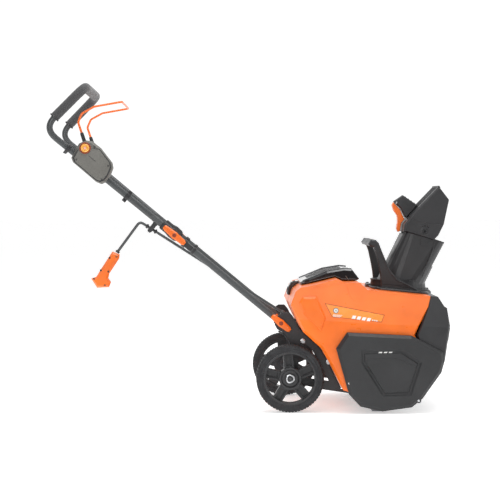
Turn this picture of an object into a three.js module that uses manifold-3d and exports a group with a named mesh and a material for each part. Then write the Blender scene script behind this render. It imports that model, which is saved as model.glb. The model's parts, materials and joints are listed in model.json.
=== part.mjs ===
// Single-stage battery snowblower, in millimetres. +X is the front of the machine, +Z is up,
// and -Y is the operator's right-hand side. The design frame has its X zero at the wheel axle,
// and one parent group moves it so that the whole machine is centred on the origin.
import * as THREE from 'three';
import { mergeVertices } from 'three/addons/utils/BufferGeometryUtils.js';
import Module from 'manifold-3d';

const wasm = await Module();
wasm.setup();

// ---------------------------------------------------------------- driving dimensions
const AXLE_X_IN_MACHINE = 113.4;   // where the axle sits along the centred machine
const GAP = 0.3;                    // space left between pieces that touch
const RUNNING = 0.06;               // radial clearance of a turning fit

const BODY_HALF_W = 240;            // outer face of the orange side walls
const COVER_HALF_W = 262;           // outer face of the dark side covers
const WALL = 5;                     // moulded wall thickness

const WHEEL_R = 102.5;
const TYRE_IN_R = 81;
const WHEEL_Y = 209.5;              // middle of the tread
const WHEEL_W = 45;
const AXLE_R = 6;

const AUGER = { x: 300, z: 122, tipR: 108, shaftR: 8 };
const CHAMBER_R = 114;
const CHAMBER_RIGHT_Y = -204;       // end wall beside the belt
const MOTOR = { x: 146, z: 240, r: 42 };
const BELT_Y = -221;

const CHUTE_X = 351;                // turning axis of the chute
const RING = { outR: 105, inR: 82, z0: 340, z1: 358 };
const CHUTE_TURN_R = 80;
const DEFLECTOR_PIVOT = { x: 426, z: 544 };

const TUBE_R = 9.5;
const TUBE_Y = 160;                 // lower handle tubes
const FOLD_LOW = { x: -26, z: 267 };
const FOLD_MID = { x: -350, z: 535 };
const LOOP_CORNER = { x: -738, y: 238, z: 856 };
const LOOP_TOP = { x: -616, y: 225, z: 980 };
const LOOP_BEND = 44;
const FOAM_R = 14.5;

const BAIL_PIVOT = { x: -615, z: 797 };
const ROD_R = 4;
const ROD_Y = -125;
const ROD_BEND = { x: -457, z: 576 };
const ROD_END = { x: 10, z: 277 };

// ---------------------------------------------------------------- materials
const paint = (color, roughness, metalness = 0) =>
  new THREE.MeshStandardMaterial({ color, roughness, metalness });
const ORANGE = paint(0xf0561a, 0.35);
const BLACK = paint(0x1b1c1e, 0.45);
const DARK = paint(0x34373a, 0.55);
const GREY = paint(0x4a4f52, 0.6);
const GLOSS = paint(0x101113, 0.15);
const FOAM = paint(0x18191b, 0.9);
const RUBBER = paint(0x161718, 0.85);
const TUBE_PAINT = paint(0x3a3f42, 0.45, 0.3);
const STEEL = paint(0xb9bcc0, 0.35, 0.9);
const CASTING = paint(0x7d8084, 0.5, 0.7);

// ---------------------------------------------------------------- solids and booleans
// Turns a closed BufferGeometry into a manifold solid.
function solid(geometry) {
  const bare = geometry.clone();
  for (const key of ['normal', 'uv']) bare.deleteAttribute(key);
  const merged = mergeVertices(bare, 1e-4);
  const vertProperties = new Float32Array(merged.attributes.position.array);
  const triVerts = new Uint32Array(merged.index.array);
  return new wasm.Manifold(new wasm.Mesh({ numProp: 3, vertProperties, triVerts }));
}

function toGeometry(body) {
  const { vertProperties, triVerts } = body.getMesh();
  const geometry = new THREE.BufferGeometry();
  geometry.setAttribute('position', new THREE.BufferAttribute(new Float32Array(vertProperties), 3));
  geometry.setIndex(new THREE.BufferAttribute(new Uint32Array(triVerts), 1));
  geometry.computeVertexNormals();
  return geometry;
}

const join = (...bodies) => bodies.reduce((a, b) => a.add(b));
const cut = (body, ...tools) => tools.reduce((a, b) => a.subtract(b), body);

function box(x0, x1, y0, y1, z0, z1) {
  const geometry = new THREE.BoxGeometry(x1 - x0, y1 - y0, z1 - z0);
  geometry.translate((x0 + x1) / 2, (y0 + y1) / 2, (z0 + z1) / 2);
  return solid(geometry);
}

// A cylinder between two points.
function rod(from, to, radius, sides = 24, endRadius = radius) {
  const a = new THREE.Vector3(...from);
  const b = new THREE.Vector3(...to);
  const geometry = new THREE.CylinderGeometry(endRadius, radius, a.distanceTo(b), sides);
  const turn = new THREE.Quaternion().setFromUnitVectors(
    new THREE.Vector3(0, 1, 0), b.clone().sub(a).normalize());
  geometry.applyQuaternion(turn);
  geometry.translate((a.x + b.x) / 2, (a.y + b.y) / 2, (a.z + b.z) / 2);
  return solid(geometry);
}

// A disc or drum whose axis lies along Y.
const drum = (x, z, radius, y0, y1, sides = 24, endRadius = radius) =>
  rod([x, y0, z], [x, y1, z], radius, sides, endRadius);
const post = (x, y, radius, z0, z1, sides = 32, endRadius = radius) =>
  rod([x, y, z0], [x, y, z1], radius, sides, endRadius);
// The radius of a faceted hole that clears a round shaft of the given radius.
const boreFor = (radius, sides, clearance = RUNNING) => (radius + clearance) / Math.cos(Math.PI / sides);

// Joins rings of points into one closed body. Each ring has the same number of points.
function loftRings(rings) {
  const count = rings[0].length;
  const flat = rings.flat();
  const triangles = [];
  for (let r = 0; r + 1 < rings.length; r += 1) {
    for (let i = 0; i < count; i += 1) {
      const j = (i + 1) % count;
      const a = r * count + i;
      const b = r * count + j;
      triangles.push(a, b, b + count, a, b + count, a + count);
    }
  }
  const cap = (ring, offset, sense) => {
    const [u, v] = planeAxes(ring);
    const outline = ring.map((p) => new THREE.Vector2(p.dot(u), p.dot(v)));
    for (const [a, b, c] of earClip(outline)) {
      triangles.push(...(sense > 0 ? [a, b, c] : [a, c, b]).map((k) => k + offset));
    }
  };
  const last = rings.length - 1;
  cap(rings[0], 0, -1);
  cap(rings[last], last * count, 1);
  const geometry = new THREE.BufferGeometry();
  const positions = new Float32Array(flat.flatMap((p) => [p.x, p.y, p.z]));
  geometry.setAttribute('position', new THREE.BufferAttribute(positions, 3));
  geometry.setIndex(triangles);
  const body = solid(geometry);
  if (body.volume() > 0) return body;
  geometry.setIndex(triangles.map((_, i) => triangles[i - (i % 3) + [0, 2, 1][i % 3]]));
  return solid(geometry);
}

// Splits an outline into triangles that keep its sense and use every one of its points.
function earClip(outline) {
  const sign = Math.sign(THREE.ShapeUtils.area(outline));
  const turn = (a, b, c) => sign * ((b.x - a.x) * (c.y - a.y) - (b.y - a.y) * (c.x - a.x));
  const left = outline.map((_, i) => i);
  const faces = [];
  while (left.length > 3) {
    let best = -1;
    let bestScore = -Infinity;
    for (let i = 0; i < left.length; i += 1) {
      const ids = [left[(i + left.length - 1) % left.length], left[i], left[(i + 1) % left.length]];
      const [a, b, c] = ids.map((k) => outline[k]);
      const blocked = left.some((k) => !ids.includes(k) && turn(a, b, outline[k]) >= 0
        && turn(b, c, outline[k]) >= 0 && turn(c, a, outline[k]) >= 0);
      const score = turn(a, b, c) / (a.distanceToSquared(c) + 1e-9) - (blocked ? 1e6 : 0);
      if (turn(a, b, c) > 0 && score > bestScore) [best, bestScore] = [i, score];
    }
    if (best < 0) throw new Error('an outline crosses itself');
    const n = left.length;
    faces.push([left[(best + n - 1) % n], left[best], left[(best + 1) % n]]);
    left.splice(best, 1);
  }
  faces.push(left);
  return faces;
}

// Two directions that span the ring's own plane, so a cap keeps the ring's outline.
function planeAxes(ring) {
  const normal = new THREE.Vector3();
  ring.forEach((p, i) => normal.add(new THREE.Vector3().crossVectors(p, ring[(i + 1) % ring.length])));
  normal.normalize();
  const pick = Math.abs(normal.y) < 0.9 ? new THREE.Vector3(0, 1, 0) : new THREE.Vector3(1, 0, 0);
  const u = new THREE.Vector3().crossVectors(pick, normal).normalize();
  return [u, new THREE.Vector3().crossVectors(normal, u)];
}

const ringAt = (points, y) => points.map(([x, z]) => new THREE.Vector3(x, y, z));
// A flat plate: an outline in X and Z between two Y values.
const slab = (points, y0, y1) => loftRings([ringAt(points, y0), ringAt(points, y1)]);

// Moves every edge of an outline inwards by d.
function inset(points, d) {
  const area = THREE.ShapeUtils.area(points.map(([x, z]) => new THREE.Vector2(x, z)));
  const side = Math.sign(area) * d;
  return points.map((p, i) => {
    const before = points[(i + points.length - 1) % points.length];
    const after = points[(i + 1) % points.length];
    const e1 = unit(p[0] - before[0], p[1] - before[1]);
    const e2 = unit(after[0] - p[0], after[1] - p[1]);
    const n = unit(-e1[1] - e2[1], e1[0] + e2[0]);
    const reach = side / Math.max(0.35, -n[0] * e1[1] + n[1] * e1[0]);
    return [p[0] + n[0] * reach, p[1] + n[1] * reach];
  });
}
function unit(a, b) {
  const length = Math.hypot(a, b);
  return [a / length, b / length];
}

// A plate with bevelled rims. bevels are the insets of its low-Y and high-Y faces.
function bevelSlab(points, y0, y1, bevels, depth = 6) {
  const [low, high] = bevels;
  const rings = [];
  if (low > 0) rings.push(ringAt(inset(points, low), y0));
  rings.push(ringAt(points, low > 0 ? y0 + depth : y0));
  rings.push(ringAt(points, high > 0 ? y1 - depth : y1));
  if (high > 0) rings.push(ringAt(inset(points, high), y1));
  return loftRings(rings);
}

// Points of an arc in XZ, from one angle to another in degrees.
function arc(cx, cz, radius, from, to, steps) {
  const points = [];
  for (let i = 0; i <= steps; i += 1) {
    const a = THREE.MathUtils.degToRad(from + ((to - from) * i) / steps);
    points.push([cx + radius * Math.cos(a), cz + radius * Math.sin(a)]);
  }
  return points;
}

// A path through given points, which a swept section follows point by point.
class PointPath extends THREE.Curve {
  constructor(points) {
    super();
    this.points = points;
    this.steps = points.length - 1;
  }
  getPoint(t) {
    const at = Math.min(t * this.steps, this.steps - 1e-9);
    const i = Math.floor(at);
    return this.points[i].clone().lerp(this.points[i + 1], at - i);
  }
  getPointAt(u) {
    return this.getPoint(u);
  }
  getTangentAt(u) {
    const i = Math.round(u * this.steps);
    const before = this.points[Math.max(0, i - 1)];
    const after = this.points[Math.min(this.steps, i + 1)];
    const here = this.points[i];
    const tangent = new THREE.Vector3();
    if (i > 0) tangent.add(here.clone().sub(before).normalize());
    if (i < this.steps) tangent.add(after.clone().sub(here).normalize());
    return tangent.normalize();
  }
}

// A path of straight runs with rounded corners, for bent tube and wire.
function bentPath(points, bend, cornerSteps = 5) {
  const v = points.map((p) => new THREE.Vector3(...p));
  const route = [v[0]];
  for (let i = 1; i + 1 < v.length; i += 1) {
    const into = v[i - 1].clone().sub(v[i]).normalize();
    const out = v[i + 1].clone().sub(v[i]).normalize();
    const reach = bend / Math.tan(into.angleTo(out) / 2);
    const corner = new THREE.QuadraticBezierCurve3(
      v[i].clone().addScaledVector(into, reach), v[i], v[i].clone().addScaledVector(out, reach));
    route.push(...corner.getPoints(cornerSteps));
  }
  route.push(v[v.length - 1]);
  return new PointPath(route);
}

// Sweeps a round section along a path.
function sweep(path, radius, sides = 10) {
  const shape = new THREE.Shape(Array.from({ length: sides }, (_, i) => new THREE.Vector2(
    radius * Math.cos((2 * Math.PI * i) / sides), radius * Math.sin((2 * Math.PI * i) / sides))));
  return solid(new THREE.ExtrudeGeometry(shape,
    { steps: path.steps, extrudePath: path, bevelEnabled: false }));
}

// ---------------------------------------------------------------- the machine's group
const machine = new THREE.Group();
machine.name = 'snowblower';
machine.position.x = AXLE_X_IN_MACHINE;

function add(name, body, material) {
  const mesh = new THREE.Mesh(toGeometry(body), material);
  mesh.name = name;
  machine.add(mesh);
}
const SIDES = [['right', -1], ['left', 1]];
const mirrored = (body, side) => (side < 0 ? body : body.mirror([0, 1, 0]));

// ---------------------------------------------------------------- housing
const DECK = [[16, 366], [31, 378], [66, 384], [143, 403], [166, 392], [211, 392], [233, 371],
  [423, 352]];
const BODY = [...DECK, [417, 321], [378, 235], [405, 160], [398, 80], [330, 34], [213, 50],
  [160, 68], [122, 144], [94, 194], [38, 245], [16, 289], [1, 325]];
const HOOD = [[423.6, 352.3], [446, 350], [465, 321], [473, 316], [482, 265], [482, 251],
  [468, 154], [446, 154], [408, 156], [379, 235], [417.8, 321]];
const COVER = [[137, 196], [170, 244], [364, 234], [459, 184], [463, 156], [454, 123],
  [398, 45], [365, 18], [276, 6], [210, 21], [176, 57]];
const BADGE = [[209, 193], [337, 195], [397, 156], [364, 51], [276, 48], [209, 153]];
const WALL_IN_Y = BODY_HALF_W - WALL - 1;
const BEARING_R = 15;
const ROD_DIR = unit(ROD_BEND.x - ROD_END.x, ROD_BEND.z - ROD_END.z);
const alongRod = (distance) => [ROD_END.x + ROD_DIR[0] * distance, ROD_Y,
  ROD_END.z + ROD_DIR[1] * distance];
const BATTERY = { x0: 62, x1: 188, halfW: 45, z0: 312, z1: 390 };

// Above a crease that falls slightly to the front, both flanks lean inwards.
const CREASE = { z: 283.8, fall: 0.056, lean: 16 / 140 };
function lean(body, inwards) {
  const rings = [-80, 620].map((x) => {
    const z = CREASE.z - CREASE.fall * x;
    const y = -BODY_HALF_W + inwards;
    return [[y, z], [y + 200 * CREASE.lean, z + 200], [y - 60, z + 200], [y - 60, z]]
      .map(([py, pz]) => new THREE.Vector3(x, py, pz));
  });
  const wedge = loftRings(rings);
  return cut(body, wedge, mirrored(wedge, 1));
}
const LINING = BODY_HALF_W - WALL_IN_Y;

function housingShell(outline, wall) {
  const outer = bevelSlab(outline, -BODY_HALF_W, BODY_HALF_W, [7, 7], 9);
  const inner = slab(inset(outline, wall), -WALL_IN_Y, WALL_IN_Y);
  return cut(lean(outer, 0), lean(inner, LINING));
}

function mainHousing() {
  let body = housingShell(BODY, WALL);
  const openFront = slab([[600, 346], [414, 346], [406, 321], [364, 235], [364, 200],
    [364, 100], [320, 60], [320, -40], [600, -40]], -WALL_IN_Y, WALL_IN_Y);
  const openFloor = box(187, 420, -WALL_IN_Y, WALL_IN_Y, -10, 82);
  body = cut(body, lean(openFront, LINING), openFloor);
  body = cut(body, post(CHUTE_X, 0, RING.outR + GAP, 300, 420, 40));
  body = cut(body, box(BATTERY.x0 - 8, BATTERY.x1 + 8, -BATTERY.halfW - 6, BATTERY.halfW + 6,
    340, 420));
  body = cut(body, rod(alongRod(-60), alongRod(60), 11, 20));
  for (const [, side] of SIDES) {
    body = cut(body, drum(AUGER.x, AUGER.z, boreFor(BEARING_R, 32, 0.1), side * 250, side * 228, 32));
  }
  // A raised, chamfered panel on each rear flank, turned slightly to the rear.
  const panel = [[25, 333], [38, 351], [78, 352], [110, 286], [94, 241], [37, 292]];
  const faceY = (x) => -BODY_HALF_W + 3 - (x - panel[0][0]) * 0.11;
  const face = inset(panel, 6).map(([x, z]) => new THREE.Vector3(x, faceY(x), z));
  const flank = loftRings([ringAt(panel, -BODY_HALF_W + 12), ringAt(panel, -BODY_HALF_W + 6), face]);
  return join(body, flank, mirrored(flank, 1));
}
add('main_housing', mainHousing(), ORANGE);

function frontScoop() {
  const outer = bevelSlab(HOOD, -BODY_HALF_W, BODY_HALF_W, [6, 6], 8);
  const throatSide = slab([[380, 346], [441, 345], [459, 318], [467, 313], [477, 263],
    [477, 100], [340, 100], [340, 260]], -WALL_IN_Y, WALL_IN_Y);
  return cut(lean(outer, 0), lean(throatSide, LINING),
    post(CHUTE_X, 0, RING.outR + GAP, 300, 420, 40));
}
add('front_scoop', frontScoop(), BLACK);

function augerHousing() {
  const outR = CHAMBER_R + 4;
  const yIn = WALL_IN_Y - 1;
  const band = [...arc(AUGER.x, AUGER.z, outR, 66, 258, 22),
    ...arc(AUGER.x, AUGER.z, CHAMBER_R, 258, 66, 22)];
  const scroll = slab(band, CHAMBER_RIGHT_Y - 4, yIn);
  const ceiling = box(325, 470, CHAMBER_RIGHT_Y - 4, yIn, 226, 230);
  const endWall = cut(
    join(drum(AUGER.x, AUGER.z, outR, CHAMBER_RIGHT_Y - 4, CHAMBER_RIGHT_Y, 48),
      box(325, 470, CHAMBER_RIGHT_Y - 4, CHAMBER_RIGHT_Y, 150, 230)),
    drum(AUGER.x, AUGER.z, 12, -260, -190, 24));
  const throatOut = post(CHUTE_X, 0, 92, 190, 339.6, 40);
  const throatIn = post(CHUTE_X, 0, 88, 150, 360, 40);
  const chamber = drum(AUGER.x, AUGER.z, CHAMBER_R, CHAMBER_RIGHT_Y, yIn + 1, 48);
  const below = box(325, 600, CHAMBER_RIGHT_Y, yIn + 1, 0, 226);
  return cut(join(scroll, cut(ceiling, chamber), endWall, cut(throatOut, chamber, below)),
    cut(throatIn, box(0, 600, -300, 300, 0, 190)));
}
add('auger_housing', augerHousing(), DARK);

for (const [name, side] of SIDES) {
  const y0 = -COVER_HALF_W;
  const y1 = -BODY_HALF_W - GAP;
  const outer = bevelSlab(COVER, y0, y1, [9, 0], 9);
  const hollow = slab(inset(COVER, 7), y0 + 8, y1 + 1);
  const pocket = loftRings([ringAt(BADGE, y0 - 1), ringAt(inset(BADGE, 7), y0 + 4)]);
  const plateau = loftRings([ringAt(inset(BADGE, 15), y0 + 1), ringAt(inset(BADGE, 10), y0 + 5)]);
  add(`side_cover_${name}`, mirrored(join(cut(outer, hollow, pocket), plateau), side), DARK);
}

add('scraper_bar', slab([[250, 0], [292, 0], [292, 2.6], [276, 4.4], [262, 7.4], [250, 12]],
  CHAMBER_RIGHT_Y, WALL_IN_Y - 1), GREY);

// ---------------------------------------------------------------- rear frame and axle
const BRACKET = [[-45, 262], [-38, 249], [-16, 236], [6, 200], [10, 150], [-13, 116], [-13, 90],
  [10, 84], [107, 63], [183, 52], [183, 58], [156, 66], [118, 142], [90, 191], [33.6, 242],
  [11, 287], [0, 300], [-20, 300], [-42, 284]];
const BRACKET_Y = 172;
for (const [name, side] of SIDES) {
  const plate = slab(BRACKET, -BRACKET_Y - 5, -BRACKET_Y);
  const window = slab([[34, 216], [68, 186], [98, 138], [120, 90], [60, 98], [26, 120], [28, 170]],
    -BRACKET_Y - 6, -BRACKET_Y + 1);
  const eye = drum(FOLD_LOW.x, FOLD_LOW.z, 5.3, -BRACKET_Y - 6, -BRACKET_Y + 1, 20);
  const seat = drum(0, WHEEL_R, AXLE_R + 0.6, -BRACKET_Y - 6, -BRACKET_Y + 1, 24);
  add(`frame_bracket_${name}`, mirrored(cut(plate, window, eye, seat), side), BLACK);
}
add('rear_cross_plate', slab([[88.4, 192.2], [37, 238.6], [34.6, 236.2], [86, 189.8]],
  -BRACKET_Y + GAP, BRACKET_Y - GAP), BLACK);
add('axle', drum(0, WHEEL_R, AXLE_R, -226, 226, 24), STEEL);

// ---------------------------------------------------------------- wheels
function wheelParts() {
  const y0 = -WHEEL_Y - WHEEL_W / 2;
  const y1 = -WHEEL_Y + WHEEL_W / 2;
  const shoulder = 5;
  const tyreProfile = [[WHEEL_R - shoulder, y0], [WHEEL_R, y0 + shoulder], [WHEEL_R, y1 - shoulder],
    [WHEEL_R - shoulder, y1], [TYRE_IN_R, y1], [TYRE_IN_R, y0], [WHEEL_R - shoulder, y0]];
  const tyre = new THREE.LatheGeometry(tyreProfile.map(([r, y]) => new THREE.Vector2(r, y)), 48);
  tyre.translate(0, 0, WHEEL_R);
  const at = (geometry) => solid(geometry);
  const sweepRadius = TYRE_IN_R - GAP - 0.2;
  let rim = cut(drum(0, WHEEL_R, sweepRadius, y0 + 2, y1 - 2, 48),
    drum(0, WHEEL_R, sweepRadius - 6, y0, y1, 48));
  rim = join(rim, drum(0, WHEEL_R, 34, y0 + 4, y1 - 4, 30, 34));
  const spokes = 5;
  for (let i = 0; i < spokes; i += 1) {
    const angle = THREE.MathUtils.degToRad(95 - (360 / spokes) * i);
    const spoke = new THREE.BoxGeometry(46, 26, 30);
    spoke.translate(54, -WHEEL_Y, 0);
    spoke.rotateY(-angle);
    spoke.translate(0, 0, WHEEL_R);
    const channel = new THREE.BoxGeometry(34, 14, 16);
    channel.translate(55, -WHEEL_Y - 10, 0);
    channel.rotateY(-angle);
    channel.translate(0, 0, WHEEL_R);
    rim = cut(join(rim, solid(spoke)), solid(channel));
  }
  rim = cut(rim, drum(0, WHEEL_R, 26, y0, y0 + 10, 30),
    drum(0, WHEEL_R, boreFor(AXLE_R, 24), -250, -150, 24));
  const cap = cut(drum(0, WHEEL_R, 13, y0 + 1, y0 + 10 - GAP, 24, 13),
    drum(0, WHEEL_R, boreFor(AXLE_R, 24), -WHEEL_Y - 18, -200, 24));
  return { tyre: at(tyre), rim, cap };
}
for (const [name, side] of SIDES) {
  const { tyre, rim, cap } = wheelParts();
  add(`tyre_${name}`, mirrored(tyre, side), RUBBER);
  add(`rim_${name}`, mirrored(rim, side), BLACK);
  add(`hub_cap_${name}`, mirrored(cap, side), STEEL);
}

// ---------------------------------------------------------------- auger and drive
const SHAFT_RIGHT = -232;
const SHAFT_LEFT = 232;
const AUGER_R = { hub: 15, plate: 84, thick: 5, y0: CHAMBER_RIGHT_Y + 4, y1: 229 };
add('auger_shaft', drum(AUGER.x, AUGER.z, AUGER.shaftR, SHAFT_RIGHT - 4, SHAFT_LEFT + 4, 24), STEEL);
for (const [name, side] of SIDES) {
  add(`bearing_${name}`, mirrored(cut(drum(AUGER.x, AUGER.z, BEARING_R, -239.6, -230, 32),
    drum(AUGER.x, AUGER.z, boreFor(AUGER.shaftR, 24), -250, -220, 24)), side), STEEL);
}
function rotor() {
  const bore = drum(AUGER.x, AUGER.z, boreFor(AUGER.shaftR, 24, GAP), -260, 260, 24);
  const hub = drum(AUGER.x, AUGER.z, AUGER_R.hub, AUGER_R.y0, AUGER_R.y1 - 1, 24);
  const plate = box(AUGER.x - AUGER_R.plate, AUGER.x + AUGER_R.plate, AUGER_R.y0, AUGER_R.y1 - 1,
    AUGER.z - AUGER_R.thick / 2, AUGER.z + AUGER_R.thick / 2);
  return cut(join(hub, plate), bore);
}
add('auger_rotor', rotor(), CASTING);

// A curved rubber blade bolted on each edge of the rotor plate; it lags behind the turn.
for (const [name, flip] of [['paddle_front', 1], ['paddle_rear', -1]]) {
  const steps = 5;
  const lift = AUGER_R.thick / 2 + GAP;
  const outer = [];
  const inner = [];
  for (let i = 0; i <= steps; i += 1) {
    const t = i / steps;
    const reach = 56 + (AUGER.tipR - 58) * t;
    const curl = 30 * Math.max(0, t - 0.35) ** 2 / 0.42;
    outer.push([AUGER.x + flip * reach, AUGER.z + flip * (lift + 6 + curl)]);
    inner.push([AUGER.x + flip * reach, AUGER.z + flip * (lift + curl * 0.96)]);
  }
  add(name, slab([...outer, ...inner.reverse()], AUGER_R.y0 + 3, AUGER_R.y1 - 4), RUBBER);
}

const PULLEY = { motorR: 16, augerR: 52, halfW: 5 };
add('auger_pulley', cut(drum(AUGER.x, AUGER.z, PULLEY.augerR, BELT_Y - 7, BELT_Y + 7, 40),
  drum(AUGER.x, AUGER.z, boreFor(AUGER.shaftR, 24, GAP), -260, -190, 24)), CASTING);
add('motor', join(
  drum(MOTOR.x, MOTOR.z, MOTOR.r, -190, -80, 32),
  drum(MOTOR.x, MOTOR.z, 22, -198, -189, 24)), CASTING);
add('motor_pulley', join(
  drum(MOTOR.x, MOTOR.z, PULLEY.motorR, BELT_Y - 7, BELT_Y + 7, 24),
  drum(MOTOR.x, MOTOR.z, 6, BELT_Y + 6, -198 - GAP, 20)), STEEL);

// An open loop round both pulleys: the outer hull of two discs less the inner one.
function beltOutline(extra) {
  const dx = AUGER.x - MOTOR.x;
  const dz = AUGER.z - MOTOR.z;
  const heading = THREE.MathUtils.radToDeg(Math.atan2(dz, dx));
  const spread = THREE.MathUtils.radToDeg(
    Math.acos((PULLEY.augerR - PULLEY.motorR) / Math.hypot(dx, dz)));
  return [
    ...arc(AUGER.x, AUGER.z, PULLEY.augerR + extra, heading - (180 - spread),
      heading + (180 - spread), 24),
    ...arc(MOTOR.x, MOTOR.z, PULLEY.motorR + extra, heading + (180 - spread),
      heading + 180 + spread, 10)];
}
add('drive_belt', cut(slab(beltOutline(4.2), BELT_Y - PULLEY.halfW, BELT_Y + PULLEY.halfW),
  slab(beltOutline(0.5), BELT_Y - 10, BELT_Y + 10)), RUBBER);

// ---------------------------------------------------------------- battery and electronics
function batteryBay() {
  const { x0, x1, halfW, z0, z1 } = BATTERY;
  const outer = box(x0 - 6, x1 + 6, -halfW - 4.5, halfW + 4.5, z0 - 5, z1 - 9);
  return cut(outer, box(x0 - 2, x1 + 2, -halfW - 1.5, halfW + 1.5, z0 - GAP, z1 + 20));
}
add('battery_bay', batteryBay(), DARK);
add('battery_pack', join(
  bevelSlab([[BATTERY.x0, BATTERY.z0], [BATTERY.x1, BATTERY.z0], [BATTERY.x1, 376],
    [BATTERY.x1 - 10, 384], [BATTERY.x0 + 10, 384], [BATTERY.x0, 376]],
  -BATTERY.halfW, BATTERY.halfW, [4, 4], 4),
  box(95, 155, -14, 14, 383, BATTERY.z1)), BLACK);
add('controller_box', bevelSlab([[70, 262], [146, 300], [140, 312], [66, 330], [44, 322],
  [48, 268]], 78, 200, [3, 3], 4), BLACK);
const LID_HINGE = { x: 216, z: 399 };
const LID = [[40, 381.5], [66, 385.2], [143, 404.2], [166, 393.4], [210, 393.4], [219, 398],
  [196, 428], [172, 430], [118, 421], [37, 389]];
add('battery_lid', cut(bevelSlab(LID, -118, 118, [5, 5], 7),
  slab([[60, 370], [66, 384], [143, 399], [166, 389], [200, 389], [194, 422], [172, 425],
    [120, 416], [60, 395]], -108, 108)), GLOSS);
const LATCH = [[5.8, 342], [14.6, 366.9], [30.2, 379.4], [36, 380.4], [35.4, 388.6],
  [12, 384], [2, 368], [-1, 346]];
add('lid_latch', bevelSlab(LATCH, -28, 28, [2.5, 2.5], 4), GLOSS);

// ---------------------------------------------------------------- chute
add('chute_ring', cut(join(
  post(CHUTE_X, 0, RING.outR, RING.z0, RING.z1 - 5, 40),
  post(CHUTE_X, 0, RING.outR - 4, RING.z1 - 6, RING.z1, 40)),
post(CHUTE_X, 0, RING.inR, RING.z0 - 1, RING.z1 + 1, 40)), BLACK);

// The chute blends from a round foot to a rounded box that leans forward.
const CHUTE_FOOT_Z = 358.5;
const CHUTE_SHAPE = [
  { z: 0, front: CHUTE_TURN_R, rear: CHUTE_TURN_R, half: CHUTE_TURN_R, corner: CHUTE_TURN_R * 0.97 },
  { z: 22, front: 84, rear: 70, half: 76, corner: 62 },
  { z: 178, front: 141, rear: -18, half: 68, corner: 26 }];
const CHUTE_TOP_SLOPE = -0.366;
function chuteRing({ z, front, rear, half, corner }, shrink, drop = 0) {
  const points = [];
  const steps = 5;
  const corners = [[front - corner, half - corner, 0], [-rear + corner, half - corner, 90],
    [-rear + corner, -half + corner, 180], [front - corner, -half + corner, 270]];
  for (const [cx, cy, from] of corners) {
    for (let i = 0; i <= steps; i += 1) {
      const a = THREE.MathUtils.degToRad(from + (90 * i) / steps);
      const r = corner - shrink;
      const x = cx + r * Math.cos(a);
      const tilt = z > 100 ? CHUTE_TOP_SLOPE * (x - 62) : 0;
      points.push(new THREE.Vector3(CHUTE_X + x, cy + r * Math.sin(a),
        CHUTE_FOOT_Z + z + tilt + drop));
    }
  }
  return points;
}
function chuteLower() {
  const wall = 3.5;
  const outer = loftRings(CHUTE_SHAPE.map((s) => chuteRing(s, 0.01)));
  const inner = loftRings([chuteRing(CHUTE_SHAPE[0], wall, -30),
    ...CHUTE_SHAPE.slice(0, 2).map((s) => chuteRing(s, wall)),
    chuteRing(CHUTE_SHAPE[2], wall), chuteRing({ ...CHUTE_SHAPE[2], z: 179 }, wall, 30)]);
  const foot = post(CHUTE_X, 0, CHUTE_TURN_R - 1, 343, CHUTE_FOOT_Z + 1, 40);
  const collar = join(post(CHUTE_X, 0, 97, CHUTE_FOOT_Z, CHUTE_FOOT_Z + 5, 40),
    post(CHUTE_X, 0, 88, CHUTE_FOOT_Z + 4, CHUTE_FOOT_Z + 35, 40, 85));
  const mouth = box(CHUTE_X + 84, CHUTE_X + 200, -50, 50, CHUTE_FOOT_Z + 74, 600);
  // The top of the rear wall is stepped forward, so the hood's rear wall closes over it.
  const step = slab([[345, 537], [368.2, 537], [368.8, 575], [345, 575]], -90, 90);
  let body = cut(join(outer, foot, collar), inner, mouth, step);
  for (const [, side] of SIDES) {
    body = join(body, drum(DEFLECTOR_PIVOT.x, DEFLECTOR_PIVOT.z - 26, 9, side * 66, side * 71, 20),
      slab([[414, 500], [438, 500], [433, 550], [419, 550]], side * 66.5, side * 71),
      drum(DEFLECTOR_PIVOT.x, DEFLECTOR_PIVOT.z, 5, side * 68, side * 79, 20));
  }
  return body;
}
add('chute_lower', chuteLower(), BLACK);

const HOOD_OUT = [[472, 686], [505, 643], [488, 565], [469, 528], [455, 514], [361, 543],
  [364, 567], [377, 583], [405, 617]];
const DEFLECTOR_HALF = 76;
function deflector() {
  const outer = bevelSlab(HOOD_OUT, -DEFLECTOR_HALF, DEFLECTOR_HALF, [5, 5], 8);
  const room = slab([[473.6, 681], [600, 640], [600, 440], [364.6, 530], [367.6, 565.4],
    [380, 580.3], [408, 614]], -DEFLECTOR_HALF + 4, DEFLECTOR_HALF - 4);
  let body = cut(outer, room);
  for (const [, side] of SIDES) {
    body = cut(body, drum(DEFLECTOR_PIVOT.x, DEFLECTOR_PIVOT.z, boreFor(5, 20), side * 60, side * 90, 20));
  }
  return body;
}
add('deflector', deflector(), BLACK);
const HANDLE_Y = 20;
add('deflector_handle', bevelSlab([[336, 637], [365, 657], [411, 625.6], [376.4, 585.6], [370, 590],
  [358, 615]], -HANDLE_Y, HANDLE_Y, [3, 3], 5), BLACK);
const TRIGGER_PIVOT = { x: 341, z: 622 };
add('deflector_trigger', bevelSlab([[331, 626], [335.6, 634.4], [355.4, 614], [366.5, 589.5],
  [370.2, 581.5], [360, 567.5], [356.4, 543.5], [350, 541], [345.5, 552], [349, 572], [348, 592],
  [336, 609]], -15, 15, [2, 2], 4), ORANGE);

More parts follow.
